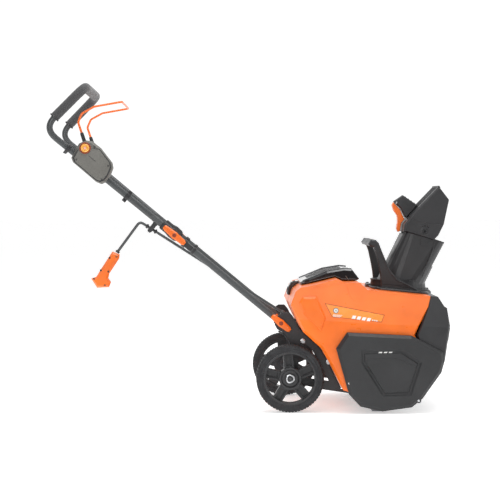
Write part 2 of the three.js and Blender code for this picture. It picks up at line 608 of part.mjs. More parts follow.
// ---------------------------------------------------------------- lift handle and chute drive
const LIFT_Y = [114, 124];
const deckZ = (x) => 371 - (x - 233) * 0.1;
const LIFT_GRIP = [[246, 507], [250, 500], [262, 496], [273, 500], [278, 509], [269, 519], [255, 520]];
function liftHandle() {
  const arm = [[284, deckZ(284) + 0.5], [409, deckZ(409) + 0.5], [396, 368], [366, 384], [337, 398],
    [313, 427], [297, 462], [285, 491], [278, 509], [269, 519], [255, 520], [246, 507], [250, 500],
    [262, 496], [269, 478], [276, 445], [282, 412], [284, 392]];
  let body = bevelSlab(LIFT_GRIP, -LIFT_Y[0] - 1, LIFT_Y[0] + 1, [0, 0]);
  for (const [, side] of SIDES) {
    const plate = bevelSlab(arm, -LIFT_Y[1], -LIFT_Y[0], [3, 3], 4);
    const foot = slab([[263, deckZ(263) + 0.5], [409, deckZ(409) + 0.5], [409, deckZ(409) + 5],
      [263, deckZ(263) + 6]], -LIFT_Y[1] - 14, -LIFT_Y[0] + 2);
    body = join(body, mirrored(join(plate, foot), side));
  }
  return body;
}
add('lift_handle', liftHandle(), BLACK);
const WORM = { from: [232, -96.6, 324.8], to: [252, -93.8, 331], r: 12 };
add('gear_housing', cut(bevelSlab([[222, 306], [222, 341], [230, 348], [264, 348], [264, 306]],
  -118, -72, [3, 3], 5),
rod([229.2, -97, 323.9], [254.8, -93.4, 331.9], WORM.r + 0.8, 24),
rod([200, -101.2, 314.6], [236, -96, 326], 5.6, 24)), BLACK);
add('turning_shaft', join(
  rod([34, ROD_Y, 262], [236, -96, 326], 5, 16),
  rod(WORM.from, WORM.to, WORM.r, 20)), STEEL);

// ---------------------------------------------------------------- handle
const tubeDir = unit(FOLD_MID.x - FOLD_LOW.x, FOLD_MID.z - FOLD_LOW.z);
const alongTube = (from, distance, y, off = 0) => [from.x + tubeDir[0] * distance - tubeDir[1] * off,
  y, from.z + tubeDir[1] * distance + tubeDir[0] * off];
const tubeTurn = Math.atan2(tubeDir[1], tubeDir[0]);
// A block drawn square to the handle: u runs up the tube from a pivot, v across it, in XZ.
function tubeBlock(from, outline, y0, y1, bevel = 0) {
  const points = outline.map(([u, v]) => {
    const [x, , z] = alongTube(from, u, 0, v);
    return [x, z];
  });
  return bevel > 0 ? bevelSlab(points, y0, y1, [bevel, bevel], bevel * 1.4) : slab(points, y0, y1);
}
const STUD_R = 4;
const studHole = (at, y0, y1) => drum(at.x, at.z, boreFor(STUD_R, 20, 0.1), y0, y1, 20);

for (const [name, side] of SIDES) {
  // The tube ends in a flattened eye at the frame and a plain end inside the fold bracket.
  const tube = cut(rod(alongTube(FOLD_LOW, -13, -TUBE_Y), alongTube(FOLD_MID, 12, -TUBE_Y), TUBE_R, 20),
    studHole(FOLD_LOW, -200, -100), studHole(FOLD_MID, -200, -100));
  add(`lower_tube_${name}`, mirrored(tube, side), TUBE_PAINT);

  const cheek = [[-17, -9], [-9, -15], [12, -16], [26, -13], [50, -13], [50, 13], [26, 13],
    [12, 16], [-9, 15], [-17, 9]];
  const bracket = cut(
    tubeBlock(FOLD_MID, cheek, -TUBE_Y - 15.5, -TUBE_Y + 15.5, 3),
    tubeBlock(FOLD_MID, [[-30, -20], [22, -20], [22, 20], [-30, 20]], -TUBE_Y - 10.4, -TUBE_Y + 10.4),
    rod(alongTube(FOLD_MID, 24, -TUBE_Y), alongTube(FOLD_MID, 70, -TUBE_Y), TUBE_R + 0.5, 20),
    studHole(FOLD_MID, -200, -100));
  add(`fold_bracket_${name}`, mirrored(bracket, side), BLACK);
}

const LOOP_START = 26;
const [startX, , startZ] = alongTube(FOLD_MID, LOOP_START, 0);
const [straightX, , straightZ] = alongTube(FOLD_MID, 90, 0);
const loopPath = bentPath([[startX, -TUBE_Y, startZ], [straightX, -TUBE_Y, straightZ],
  [LOOP_CORNER.x, -LOOP_CORNER.y, LOOP_CORNER.z], [LOOP_TOP.x, -LOOP_TOP.y, LOOP_TOP.z],
  [LOOP_TOP.x, LOOP_TOP.y, LOOP_TOP.z], [LOOP_CORNER.x, LOOP_CORNER.y, LOOP_CORNER.z],
  [straightX, TUBE_Y, straightZ], [startX, TUBE_Y, startZ]], LOOP_BEND);
add('upper_handle', sweep(loopPath, TUBE_R), TUBE_PAINT);

// The foam sleeve covers the two risers and the crossbar.
const mix = (a, b, t) => [a.x + (b.x - a.x) * t, a.y + (b.y - a.y) * t, a.z + (b.z - a.z) * t];
const riserStart = mix(LOOP_CORNER, LOOP_TOP, 0.27);
const flipY = ([x, y, z]) => [x, -y, z];
const foamPath = bentPath([flipY(riserStart), [LOOP_TOP.x, -LOOP_TOP.y, LOOP_TOP.z],
  [LOOP_TOP.x, LOOP_TOP.y, LOOP_TOP.z], riserStart], LOOP_BEND);
const tubeChannel = () => sweep(loopPath, TUBE_R + 0.6);
add('grip_sleeve', cut(sweep(foamPath, FOAM_R, 12), tubeChannel()), FOAM);

// ---------------------------------------------------------------- switch box and bail
const SWITCH_BOX = [[-646, 789], [-634, 811], [-613, 820.5], [-595, 818], [-570, 798], [-536, 754],
  [-533, 738], [-542, 714], [-556, 695], [-569, 690], [-583, 696], [-652, 755], [-657, 768]];
const BOX_Y = 206;
const BOX_HALF = 27;
const BUTTON_R = 13;
const bailHole = (radius, y0, y1) => drum(BAIL_PIVOT.x, BAIL_PIVOT.z, radius, y0, y1, 20);
{
  const outer = bevelSlab(SWITCH_BOX, -BOX_Y - BOX_HALF, -BOX_Y - GAP / 2, [6, 0], 8);
  const inner = bevelSlab(SWITCH_BOX, -BOX_Y + GAP / 2, -BOX_Y + BOX_HALF, [0, 6], 8);
  add('switch_box_outer', cut(outer, tubeChannel(),
    bailHole(BUTTON_R + 0.5, -BOX_Y - BOX_HALF - 2, -BOX_Y - 11)), GREY);
  add('switch_box_inner', cut(inner, tubeChannel(), bailHole(3.8, -BOX_Y + 10, -BOX_Y + 40)), GREY);
}
add('safety_button', join(bailHole(BUTTON_R, -BOX_Y - BOX_HALF - 5, -BOX_Y - 17),
  bailHole(6, -BOX_Y - 18, -BOX_Y - 16)), ORANGE);

const BAIL_WIRE_R = 3;
const BAIL_HALF = 168;
const bailSide = [[-615, 178, 797], [-615, BAIL_HALF, 797], [-629, BAIL_HALF, 840],
  [-641, BAIL_HALF + 2, 877], [-630, BAIL_HALF + 5, 903], [-592, BAIL_HALF + 7, 924],
  [-508, BAIL_HALF + 8, 939]];
const bailStub = [-615, 186, 797];
const bailPath = bentPath([flipY(bailStub), ...bailSide.slice(1).map(flipY),
  ...bailSide.slice(1).reverse(), bailStub], 13, 4);
add('bail', sweep(bailPath, BAIL_WIRE_R, 8), ORANGE);
add('bail_bracket', cut(bevelSlab([[-634, 781], [-634, 800], [-622, 810], [-606, 808], [-596, 790],
  [-584, 752], [-596, 738], [-616, 742]], BOX_Y - 24, BOX_Y + 17, [3, 3], 5),
tubeChannel(), bailHole(3.8, BOX_Y - 40, BOX_Y - 12)), BLACK);

// ---------------------------------------------------------------- chute crank
const armEnd = [-527, ROD_Y, 481];
add('crank_rod', join(
  sweep(bentPath([alongRod(-14), [ROD_BEND.x, ROD_Y, ROD_BEND.z], armEnd], 12), ROD_R),
  rod(alongRod(26), alongRod(4), 9, 20)), TUBE_PAINT);
const GRIP = [[-541, 484], [-519, 475], [-521, 462], [-551, 416], [-554, 402], [-546, 390],
  [-552, 375], [-588, 373], [-606, 401], [-590, 407], [-580, 424]];
const gripBore = rod([-500, ROD_Y, 517.6], [-534, ROD_Y, 471.5], ROD_R + 0.6, 16);
add('crank_grip', cut(bevelSlab(GRIP, ROD_Y - 17, ROD_Y + 17, [6, 6], 9), gripBore), ORANGE);

// A fork under the right tube steadies the rod; it is open below, so the rod can drop out.
const FORK_AT = { x: -421.7, z: 553.4 };
function rodFork() {
  const clamp = tubeBlock(FOLD_MID, [[60, -7], [60, 14], [75, 14], [75, -7]], -TUBE_Y - 1, -TUBE_Y + 13.5);
  const arm = tubeBlock(FOLD_MID, [[60.7, 6], [60.7, 39], [63.7, 44], [71.3, 44], [74.3, 39], [74.3, 6]],
    -TUBE_Y + 10.5, ROD_Y + 9, 1.5);
  const ahead = (distance, down = 0) => [
    FORK_AT.x + ROD_DIR[0] * distance + ROD_DIR[1] * down,
    FORK_AT.z + ROD_DIR[1] * distance - ROD_DIR[0] * down];
  const [x0, z0] = ahead(-30);
  const [x1, z1] = ahead(30);
  const slot = rod([x0, ROD_Y, z0], [x1, ROD_Y, z1], 5.2, 20);
  const mouth = slab([[x0, z0], [x1, z1], ahead(30, -40), ahead(-30, -40)], ROD_Y - 4.7, ROD_Y + 4.7);
  return cut(join(clamp, arm), slot, mouth, tubeChannel());
}
add('rod_fork', rodFork(), BLACK);

// ---------------------------------------------------------------- wing bolts
function wingBolt(at, span, y0, y1, turn) {
  const outline = [[-span, -5], [-span + 6, -8.5], [-12, -10], [0, -11.5], [12, -10], [span - 6, -8.5],
    [span, -5], [span, 5], [span - 6, 8.5], [12, 10], [0, 11.5], [-12, 10], [-span + 6, 8.5],
    [-span, 5]].map(([u, v]) => [at.x + u * Math.cos(turn) - v * Math.sin(turn),
    at.z + u * Math.sin(turn) + v * Math.cos(turn)]);
  const wing = bevelSlab(outline, y0, y0 + 11, [4, 1.5], 4);
  const stud = drum(at.x, at.z, STUD_R, y0 + 9, y1, 20);
  const washer = drum(at.x, at.z, 8, y0 + 10, y0 + 12.6, 20);
  return join(wing, washer, stud);
}
for (const [name, side] of SIDES) {
  add(`upper_wing_${name}`, mirrored(
    wingBolt(FOLD_MID, 41, -TUBE_Y - 15.5 - 13, -TUBE_Y + 18, tubeTurn), side), ORANGE);
  add(`lower_wing_${name}`, mirrored(
    wingBolt(FOLD_LOW, 36, -BRACKET_Y - 5 - 13, -TUBE_Y + 14, tubeTurn), side), ORANGE);
}
export default machine;
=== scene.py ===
"""Looks for the single stage snowblower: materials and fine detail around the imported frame.

All lengths are metres in the row frame: +X to the machine's front, -Y to its right-hand side,
+Z up. Outlines are written in millimetres from the wheel axle and mapped by at().
"""
import json
import math

import bmesh
import bpy
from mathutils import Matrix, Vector


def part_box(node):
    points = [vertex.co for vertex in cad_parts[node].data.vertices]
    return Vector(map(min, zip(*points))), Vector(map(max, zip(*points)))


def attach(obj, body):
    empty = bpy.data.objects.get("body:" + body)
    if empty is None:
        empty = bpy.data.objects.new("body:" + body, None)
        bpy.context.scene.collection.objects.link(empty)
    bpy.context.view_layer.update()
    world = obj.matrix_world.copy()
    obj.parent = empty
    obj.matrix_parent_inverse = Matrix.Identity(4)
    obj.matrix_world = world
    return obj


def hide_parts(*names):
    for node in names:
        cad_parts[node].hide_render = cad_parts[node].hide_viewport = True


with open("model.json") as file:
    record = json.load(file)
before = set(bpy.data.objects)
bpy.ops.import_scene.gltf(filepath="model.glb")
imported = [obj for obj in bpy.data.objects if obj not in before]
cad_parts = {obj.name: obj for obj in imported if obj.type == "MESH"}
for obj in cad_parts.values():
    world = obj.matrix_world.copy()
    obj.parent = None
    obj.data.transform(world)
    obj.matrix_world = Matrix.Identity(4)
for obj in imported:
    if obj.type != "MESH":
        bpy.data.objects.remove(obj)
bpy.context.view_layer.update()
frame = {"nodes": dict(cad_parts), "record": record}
nodes = frame["nodes"]


def middle(node):
    low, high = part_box(node)
    return (Vector(low) + Vector(high)) / 2


AXLE_X = middle("axle").x
SIDES = (("right", -1), ("left", 1))


def at(x, y, z):
    """A point given in millimetres from the wheel axle, with y and z from the middle and the ground."""
    return Vector((AXLE_X + x / 1000, y / 1000, z / 1000))


# ---------------------------------------------------------------- camera, light and floor
CAMERA_AT = (-226.7, -4861.0, 641.8)
LENS_MM = 111.0
YAW = math.atan(0.0227)
PITCH = math.atan(0.03243)


def add_camera():
    data = bpy.data.cameras.new("camera")
    data.lens = LENS_MM
    data.sensor_width = 36.0
    data.clip_end = 50
    camera = bpy.data.objects.new("camera", data)
    bpy.context.scene.collection.objects.link(camera)
    forward = Vector((math.sin(YAW) * math.cos(PITCH), math.cos(YAW) * math.cos(PITCH), -math.sin(PITCH)))
    camera.rotation_euler = forward.to_track_quat("-Z", "Y").to_euler()
    camera.location = at(*CAMERA_AT)
    bpy.context.scene.camera = camera


def add_area(name, location, target, size, power):
    data = bpy.data.lights.new(name, "AREA")
    data.shape = "RECTANGLE"
    data.size, data.size_y = size
    data.energy = power
    light = bpy.data.objects.new(name, data)
    bpy.context.scene.collection.objects.link(light)
    light.location = location
    aim = Vector(target) - Vector(location)
    light.rotation_euler = aim.to_track_quat("-Z", "Y").to_euler()


def add_studio():
    scene = bpy.context.scene
    world = bpy.data.worlds.new("studio")
    world.use_nodes = True
    tree = world.node_tree
    background = tree.nodes["Background"]
    background.inputs["Color"].default_value = (1, 1, 1, 1)
    # White behind the machine, dim on the camera's side, so dark plastics keep their depth.
    direction = tree.nodes.new("ShaderNodeTexCoord").outputs["Generated"]
    split = tree.nodes.new("ShaderNodeSeparateXYZ")
    fade = tree.nodes.new("ShaderNodeMapRange")
    for socket, value in (("From Min", -0.6), ("From Max", 0.9), ("To Min", 0.16), ("To Max", 1.08)):
        fade.inputs[socket].default_value = value
    tree.links.new(direction, split.inputs["Vector"])
    tree.links.new(split.outputs["Y"], fade.inputs["Value"])
    tree.links.new(fade.outputs["Result"], background.inputs["Strength"])
    scene.world = world
    scene.view_settings.view_transform = "Standard"
    add_area("key", (-1.6, -4.2, 1.7), (0, 0, 0.4), (1.3, 2.2), 52)
    add_area("high", (0.5, -4.8, 1.7), (0.3, 0, 0.6), (2.6, 1.3), 34)
    add_area("top", (0.2, -0.4, 3.4), (0, 0, 0.3), (3.0, 2.4), 80)
    add_area("front", (3.2, -0.8, 1.6), (0.2, 0, 0.4), (1.2, 2.2), 20)
    # The floor ends in front of the machine, so the dark sides do not mirror it.
    bpy.ops.mesh.primitive_plane_add(size=60, location=(0, 28.2, -0.0005))
    floor = bpy.context.object
    floor.name = "floor"
    floor.data.materials.append(floor_material())


def floor_material():
    material = bpy.data.materials.new("studio_floor")
    material.use_nodes = True
    shader = material.node_tree.nodes["Principled BSDF"]
    shader.inputs["Base Color"].default_value = (0.90, 0.90, 0.90, 1)
    shader.inputs["Emission Color"].default_value = (1, 1, 1, 1)
    shader.inputs["Emission Strength"].default_value = 0.45
    shader.inputs["Roughness"].default_value = 0.6
    shader.inputs["Specular IOR Level"].default_value = 0.2
    return material


# ---------------------------------------------------------------- materials
class Nodes:
    """A short way to write a material's node tree."""

    def __init__(self, name):
        self.material = bpy.data.materials.new(name)
        self.material.use_nodes = True
        self.tree = self.material.node_tree
        self.shader = self.tree.nodes["Principled BSDF"]
        self.coords = self.tree.nodes.new("ShaderNodeTexCoord").outputs["Object"]

    def node(self, kind, **values):
        made = self.tree.nodes.new(kind)
        for key, value in values.items():
            if key in made.inputs:
                made.inputs[key].default_value = value
            else:
                setattr(made, key, value)
        return made

    def link(self, output, socket):
        self.tree.links.new(output, socket)

    def noise(self, scale, detail=4.0, roughness=0.55, stretch=None):
        noise = self.node("ShaderNodeTexNoise")
        noise.inputs["Scale"].default_value = scale
        noise.inputs["Detail"].default_value = detail
        noise.inputs["Roughness"].default_value = roughness
        self.link(self.spread(stretch), noise.inputs["Vector"])
        return noise.outputs["Fac"]

    def spread(self, stretch):
        if stretch is None:
            return self.coords
        mapping = self.node("ShaderNodeMapping")
        mapping.inputs["Scale"].default_value = stretch
        self.link(self.coords, mapping.inputs["Vector"])
        return mapping.outputs["Vector"]

    def remap(self, value, low, high, out_low, out_high):
        made = self.node("ShaderNodeMapRange")
        made.inputs["From Min"].default_value = low
        made.inputs["From Max"].default_value = high
        made.inputs["To Min"].default_value = out_low
        made.inputs["To Max"].default_value = out_high
        self.link(value, made.inputs["Value"])
        return made.outputs["Result"]

    def blend(self, factor, first, second):
        mix = self.node("ShaderNodeMix", data_type="RGBA")
        mix.inputs[6].default_value = (*first, 1)
        mix.inputs[7].default_value = (*second, 1)
        self.link(factor, mix.inputs[0])
        return mix.outputs[2]

    def bump(self, height, strength, distance, after=None):
        bump = self.node("ShaderNodeBump")
        bump.inputs["Strength"].default_value = strength
        bump.inputs["Distance"].default_value = distance
        self.link(height, bump.inputs["Height"])
        if after is not None:
            self.link(after, bump.inputs["Normal"])
        return bump.outputs["Normal"]


def moulded(name, color, rough, grain_scale, grain, coat=0.0, specular=0.5):
    """Moulded plastic: a spark-eroded grain, faint flow marks in the gloss and slight colour drift."""
    n = Nodes(name)
    drift = n.noise(9.0, 3.0)
    darker = tuple(c * 0.86 for c in color)
    lighter = tuple(min(1.0, c * 1.08 + 0.002) for c in color)
    n.link(n.blend(n.remap(drift, 0.35, 0.65, 0, 1), darker, lighter), n.shader.inputs["Base Color"])
    gloss = n.noise(55.0, 6.0, stretch=(1.0, 0.35, 1.0))
    n.link(n.remap(gloss, 0.3, 0.7, rough - 0.05, rough + 0.07), n.shader.inputs["Roughness"])
    fine = n.bump(n.noise(grain_scale, 3.0, 0.7), grain, 0.0004)
    wave = n.bump(n.noise(14.0, 2.0), 0.06, 0.002, fine)
    n.link(wave, n.shader.inputs["Normal"])
    n.shader.inputs["Specular IOR Level"].default_value = specular
    n.shader.inputs["Coat Weight"].default_value = coat
    n.shader.inputs["Coat Roughness"].default_value = 0.12
    return n.material


def powder_coat(name, color, rough, metallic=0.0):
    """Powder coat: orange-peel bump, tiny glossy specks and worn high spots."""
    n = Nodes(name)
    speck = n.noise(420.0, 2.0)
    lighter = tuple(c * 1.5 + 0.01 for c in color)
    n.link(n.blend(n.remap(speck, 0.5, 0.8, 0, 1), color, lighter), n.shader.inputs["Base Color"])
    n.link(n.remap(n.noise(70.0, 5.0), 0.3, 0.7, rough - 0.08, rough + 0.08), n.shader.inputs["Roughness"])
    peel = n.bump(n.noise(650.0, 2.0), 0.22, 0.0004)
    n.link(peel, n.shader.inputs["Normal"])
    n.shader.inputs["Metallic"].default_value = metallic
    return n.material


def plated_steel(name, color, rough, stretch):
    """Zinc-plated or ground steel: fine marks along one way, and patchy dulling."""
    n = Nodes(name)
    marks = n.noise(260.0, 5.0, stretch=stretch)
    n.link(n.blend(n.remap(n.noise(40.0, 4.0), 0.3, 0.7, 0, 1), tuple(c * 0.72 for c in color), color),
           n.shader.inputs["Base Color"])
    n.link(n.remap(marks, 0.3, 0.7, rough - 0.08, rough + 0.12), n.shader.inputs["Roughness"])
    n.link(n.bump(marks, 0.16, 0.0003), n.shader.inputs["Normal"])
    n.shader.inputs["Metallic"].default_value = 1.0
    return n.material


def cast_alloy(name, color):
    n = Nodes(name)
    n.link(n.blend(n.noise(60.0, 6.0), tuple(c * 0.7 for c in color), color), n.shader.inputs["Base Color"])
    n.link(n.remap(n.noise(120.0, 5.0), 0.3, 0.7, 0.4, 0.62), n.shader.inputs["Roughness"])
    n.link(n.bump(n.noise(900.0, 3.0), 0.35, 0.0005), n.shader.inputs["Normal"])
    n.shader.inputs["Metallic"].default_value = 0.85
    return n.material


def rubber(name, color, rough, dust):
    """Tyre or paddle rubber with a dry bloom in its pores."""
    n = Nodes(name)
    bloom = n.remap(n.noise(38.0, 7.0, 0.65), 0.42, 0.72, 0, 1)
    n.link(n.blend(bloom, color, dust), n.shader.inputs["Base Color"])
    n.link(n.remap(n.noise(160.0, 4.0), 0.3, 0.7, rough - 0.1, rough + 0.08), n.shader.inputs["Roughness"])
    n.link(n.bump(n.noise(700.0, 3.0), 0.3, 0.0005), n.shader.inputs["Normal"])
    n.shader.inputs["Specular IOR Level"].default_value = 0.35
    return n.material


def foam(name, color):
    """Closed-cell foam: round open pores over a soft, dull skin."""
    n = Nodes(name)
    cells = n.node("ShaderNodeTexVoronoi", feature="F1")
    cells.inputs["Scale"].default_value = 620.0
    n.link(n.coords, cells.inputs["Vector"])
    pores = cells.outputs["Distance"]
    deep = tuple(c * 0.5 for c in color)
    skin = tuple(c * 1.5 for c in color)
    n.link(n.blend(n.remap(pores, 0.1, 0.6, 0, 1), deep, skin), n.shader.inputs["Base Color"])
    n.shader.inputs["Roughness"].default_value = 0.9
    n.link(n.bump(n.noise(240.0, 5.0), 0.3, 0.0008, n.bump(pores, 0.5, 0.0006)), n.shader.inputs["Normal"])
    n.shader.inputs["Sheen Weight"].default_value = 0.25
    n.shader.inputs["Sheen Roughness"].default_value = 0.5
    return n.material


MATERIALS = {
    "orange_plastic": moulded("orange_plastic", (0.93, 0.17, 0.010), 0.32, 900, 0.08, coat=0.12),
    "black_plastic": moulded("black_plastic", (0.021, 0.021, 0.023), 0.38, 1100, 0.3),
    "dark_plastic": moulded("dark_plastic", (0.016, 0.0165, 0.018), 0.46, 1000, 0.4),
    "grey_plastic": moulded("grey_plastic", (0.15, 0.145, 0.13), 0.5, 1000, 0.35),
    "gloss_black": moulded("gloss_black", (0.008, 0.008, 0.010), 0.12, 500, 0.03, coat=0.6),
    "foam_grip": foam("foam_grip", (0.05, 0.05, 0.052)),
    "tyre_rubber": rubber("tyre_rubber", (0.018, 0.018, 0.02), 0.62, (0.036, 0.037, 0.04)),
    "paddle_rubber": rubber("paddle_rubber", (0.02, 0.02, 0.022), 0.7, (0.04, 0.04, 0.042)),
    "tube_paint": powder_coat("tube_paint", (0.060, 0.064, 0.066), 0.38, 0.15),
    "frame_paint": powder_coat("frame_paint", (0.014, 0.014, 0.016), 0.42),
    "orange_wire": powder_coat("orange_wire", (0.90, 0.16, 0.015), 0.3),
    "bright_steel": plated_steel("bright_steel", (0.66, 0.67, 0.69), 0.28, (1.0, 0.1, 1.0)),
    "scraper_steel": plated_steel("scraper_steel", (0.30, 0.31, 0.33), 0.42, (1.0, 0.05, 1.0)),
    "cast_metal": cast_alloy("cast_metal", (0.42, 0.43, 0.45)),
    "amber_print": moulded("amber_print", (0.95, 0.26, 0.012), 0.24, 900, 0.03, coat=0.4),
    "button_amber": moulded("button_amber", (1.0, 0.46, 0.07), 0.22, 900, 0.02, coat=0.4),
    # white_print is the colour of real print; the dot on the button also uses it as a painted highlight.
    "white_print": moulded("white_print", (0.82, 0.82, 0.80), 0.4, 700, 0.03),
    "dark_orange": moulded("dark_orange", (0.30, 0.045, 0.008), 0.4, 900, 0.1),
}


def dress_frame():
    """Gives every CAD node its slot's material and softly rounded edges."""
    widths = {"main_housing": 0.0032, "front_scoop": 0.004, "side_cover_right": 0.0026,
              "side_cover_left": 0.0026, "battery_lid": 0.003, "lift_handle": 0.0035,
              "deflector": 0.0026, "crank_grip": 0.0035, "switch_box_outer": 0.0024,
              "switch_box_inner": 0.0024, "deflector_trigger": 0.002, "deflector_handle": 0.0025}
    for entry in frame["record"]["subparts"]:
        piece = nodes[entry["node"]]
        piece.data.materials.clear()
        piece.data.materials.append(MATERIALS[entry["material_slot"]])
        round_edges(piece, widths.get(entry["node"], 0.0012))


def round_edges(piece, width, segments=2, angle=28):
    bevel = piece.modifiers.new("rounded_edges", "BEVEL")
    bevel.width = width
    bevel.segments = segments
    bevel.limit_method = "ANGLE"
    bevel.angle_limit = math.radians(angle)
    bevel.harden_normals = False
    bevel.use_clamp_overlap = True


# ---------------------------------------------------------------- shapes
ALONG_Y = Vector((0, 1, 0))
ALONG_Z = Vector((0, 0, 1))


def across(axis):
    """Two directions square to an axis."""
    axis = axis.normalized()
    pick = Vector((1, 0, 0)) if abs(axis.x) < 0.9 else Vector((0, 0, 1))
    u = (pick - axis * pick.dot(axis)).normalized()
    return u, axis.cross(u)


class Piece:
    """Gathers closed shapes, given in millimetres from the wheel axle, into one object."""

    def __init__(self, name, slot, body):
        self.name = name
        self.slot = slot
        self.body = body
        self.points = []
        self.faces = []

    def rings(self, rings, loop=False):
        base = len(self.points)
        count = len(rings[0])
        for ring in rings:
            self.points.extend(Vector(p) for p in ring)
        spans = len(rings) if loop else len(rings) - 1
        for r in range(spans):
            a = base + r * count
            b = base + (r + 1) % len(rings) * count
            for i in range(count):
                j = (i + 1) % count
                self.faces.append((a + i, a + j, b + j, b + i))
        if not loop:
            last = base + (len(rings) - 1) * count
            self.faces.append(tuple(base + i for i in reversed(range(count))))
            self.faces.append(tuple(last + i for i in range(count)))
        return self

    def turned(self, profile, centre, axis=ALONG_Y, steps=32, loop=False):
        """A profile of (radius, distance along the axis) turned about the axis."""
        u, v = across(axis)
        centre = Vector(centre)
        rings = []
        for radius, along in profile:
            ring = []
            for i in range(steps):
                a = 2 * math.pi * i / steps
                ring.append(centre + axis * along + (u * math.cos(a) + v * math.sin(a)) * max(radius, 0.01))
            rings.append(ring)
        return self.rings(rings, loop)

    def prism(self, outline, y0, y1, taper=0.0):
        """An XZ outline drawn between two Y values; taper shrinks the y1 end towards its middle."""
        mid_x = sum(x for x, _ in outline) / len(outline)
        mid_z = sum(z for _, z in outline) / len(outline)
        low = [(x, y0, z) for x, z in outline]
        high = [(x + (mid_x - x) * taper, y1, z + (mid_z - z) * taper) for x, z in outline]
        return self.rings([low, high])

    def tube(self, path, radius, sides=16):
        """A round section along a path; radius is one value or one for each point."""
        path = [Vector(p) for p in path]
        radii = radius if isinstance(radius, list) else [radius] * len(path)
        heading = (path[1] - path[0]).normalized()
        u, _ = across(heading)
        rings = []
        for i, here in enumerate(path):
            before = path[max(0, i - 1)]
            after = path[min(len(path) - 1, i + 1)]
            heading = (after - before).normalized()
            u = (u - heading * u.dot(heading)).normalized()
            v = heading.cross(u)
            rings.append([here + (u * math.cos(a) + v * math.sin(a)) * radii[i]
                          for a in (2 * math.pi * k / sides for k in range(sides))])
        return self.rings(rings)

    def screw(self, centre, axis, radius, height):
        """A pan head with a six-sided recess."""
        axis = Vector(axis).normalized()
        u, v = across(axis)
        centre = Vector(centre)
        steps = 24
        rings = []
        # Share of the radius, share of the height, and whether the ring is six-sided.
        profile = ((1.0, 0.0, 0), (1.0, 0.55, 0), (0.8, 1.0, 0),
                   (0.5, 1.0, 1), (0.44, 0.3, 1), (0.02, 0.25, 0))
        for share, lift, hexed in profile:
            ring = []
            for i in range(steps):
                a = 2 * math.pi * i / steps
                flat = math.cos((a + math.pi / 6) % (math.pi / 3) - math.pi / 6)
                reach = share * radius * (0.93 / flat if hexed else 1.0)
                ring.append(centre + axis * (lift * height) + (u * math.cos(a) + v * math.sin(a)) * reach)
            rings.append(ring)
        return self.rings(rings)

    def hexagon(self, centre, axis, radius, height):
        """A hex head or nut with a chamfered top."""
        return self.turned([(radius, 0), (radius, height * 0.8), (radius * 0.86, height)],
                           centre, Vector(axis).normalized(), 6)

    def finish(self, width=0.0, angle=38, segments=2, replaces=()):
        mesh = bpy.data.meshes.new(self.name)
        mesh.from_pydata([at(*p) for p in self.points], [], self.faces)
        working = bmesh.new()
        working.from_mesh(mesh)
        bmesh.ops.remove_doubles(working, verts=working.verts, dist=0.00002)
        bmesh.ops.recalc_face_normals(working, faces=working.faces)
        working.to_mesh(mesh)
        working.free()
        for face in mesh.polygons:
            face.use_smooth = True
        mesh.set_sharp_from_angle(angle=math.radians(angle))
        obj = bpy.data.objects.new(self.name, mesh)
        bpy.context.scene.collection.objects.link(obj)
        mesh.materials.append(MATERIALS[self.slot])
        if width:
            round_edges(obj, width / 1000, segments)
        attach(obj, self.body)
        if replaces:
            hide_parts(*replaces)
        return obj


def rounded(corners, bend, steps=10):
    """A path of straight runs whose corners are eased with a quadratic curve."""
    v = [Vector(p) for p in corners]
    route = [v[0]]
    for before, corner, after in zip(v, v[1:], v[2:]):
        into = (before - corner).normalized()
        out = (after - corner).normalized()
        reach = bend / math.tan(into.angle(out) / 2)
        start = corner + into * reach
        end = corner + out * reach
        for i in range(steps + 1):
            t = i / steps
            route.append(start * (1 - t) ** 2 + corner * (2 * t * (1 - t)) + end * t ** 2)
    route.append(v[-1])
    return route


def circle(x, z, radius, steps=24, phase=0.0):
    return [(x + radius * math.cos(phase + 2 * math.pi * i / steps),
             z + radius * math.sin(phase + 2 * math.pi * i / steps)) for i in range(steps)]


def strip(x0, z0, x1, z1, width):
    """The outline of a straight strip in XZ."""
    length = math.hypot(x1 - x0, z1 - z0)
    nx = -(z1 - z0) / length * width / 2
    nz = (x1 - x0) / length * width / 2
    return [(x0 + nx, z0 + nz), (x0 - nx, z0 - nz), (x1 - nx, z1 - nz), (x1 + nx, z1 + nz)]


# ---------------------------------------------------------------- wheels
WHEEL_R = 102.5
WHEEL_Y = 209.5
WHEEL_W = 45.0
LUGS = 64
SPOKES = 5
FIRST_SPOKE_DEG = 95


def add_tyre(name, side):
    """A tyre with two staggered rows of lugs, shoulder blocks and sidewall rings."""
    half = WHEEL_W / 2
    section = [(81, -half), (86, -half), (87.5, -half - 1.2), (90, -half - 1.2), (91, -half), (96.5, -half),
               (99.5, -half + 1.5), (102.5, -half + 6), (102.5, -half + 12), (102.5, -3), (100.8, -2),
               (100.8, 2), (102.5, 3), (102.5, half - 12), (102.5, half - 6), (99.5, half - 1.5),
               (96.5, half), (91, half), (90, half + 1.2), (87.5, half + 1.2), (86, half), (81, half)]
    # Each lug covers four of its six angular steps; the rest is groove.
    steps = LUGS * 6
    piece = Piece(f"tread_tyre_{name}", "tyre_rubber", f"wheel_{name}")
    rings = []
    for i in range(steps):
        ring = []
        for radius, offset in section:
            shift = 3 if offset > 0 else 0
            groove = (i + shift + int(abs(offset) / 5)) % 6 >= 4
            depth = 2.2 if groove and radius > 99 and abs(offset) > 2.5 else 0.0
            a = 2 * math.pi * i / steps
            r = radius - depth
            ring.append((r * math.cos(a), side * WHEEL_Y + offset, WHEEL_R + r * math.sin(a)))
        rings.append(ring)
    piece.rings(rings, loop=True)
    piece.finish(angle=30, replaces=(f"tyre_{name}",))


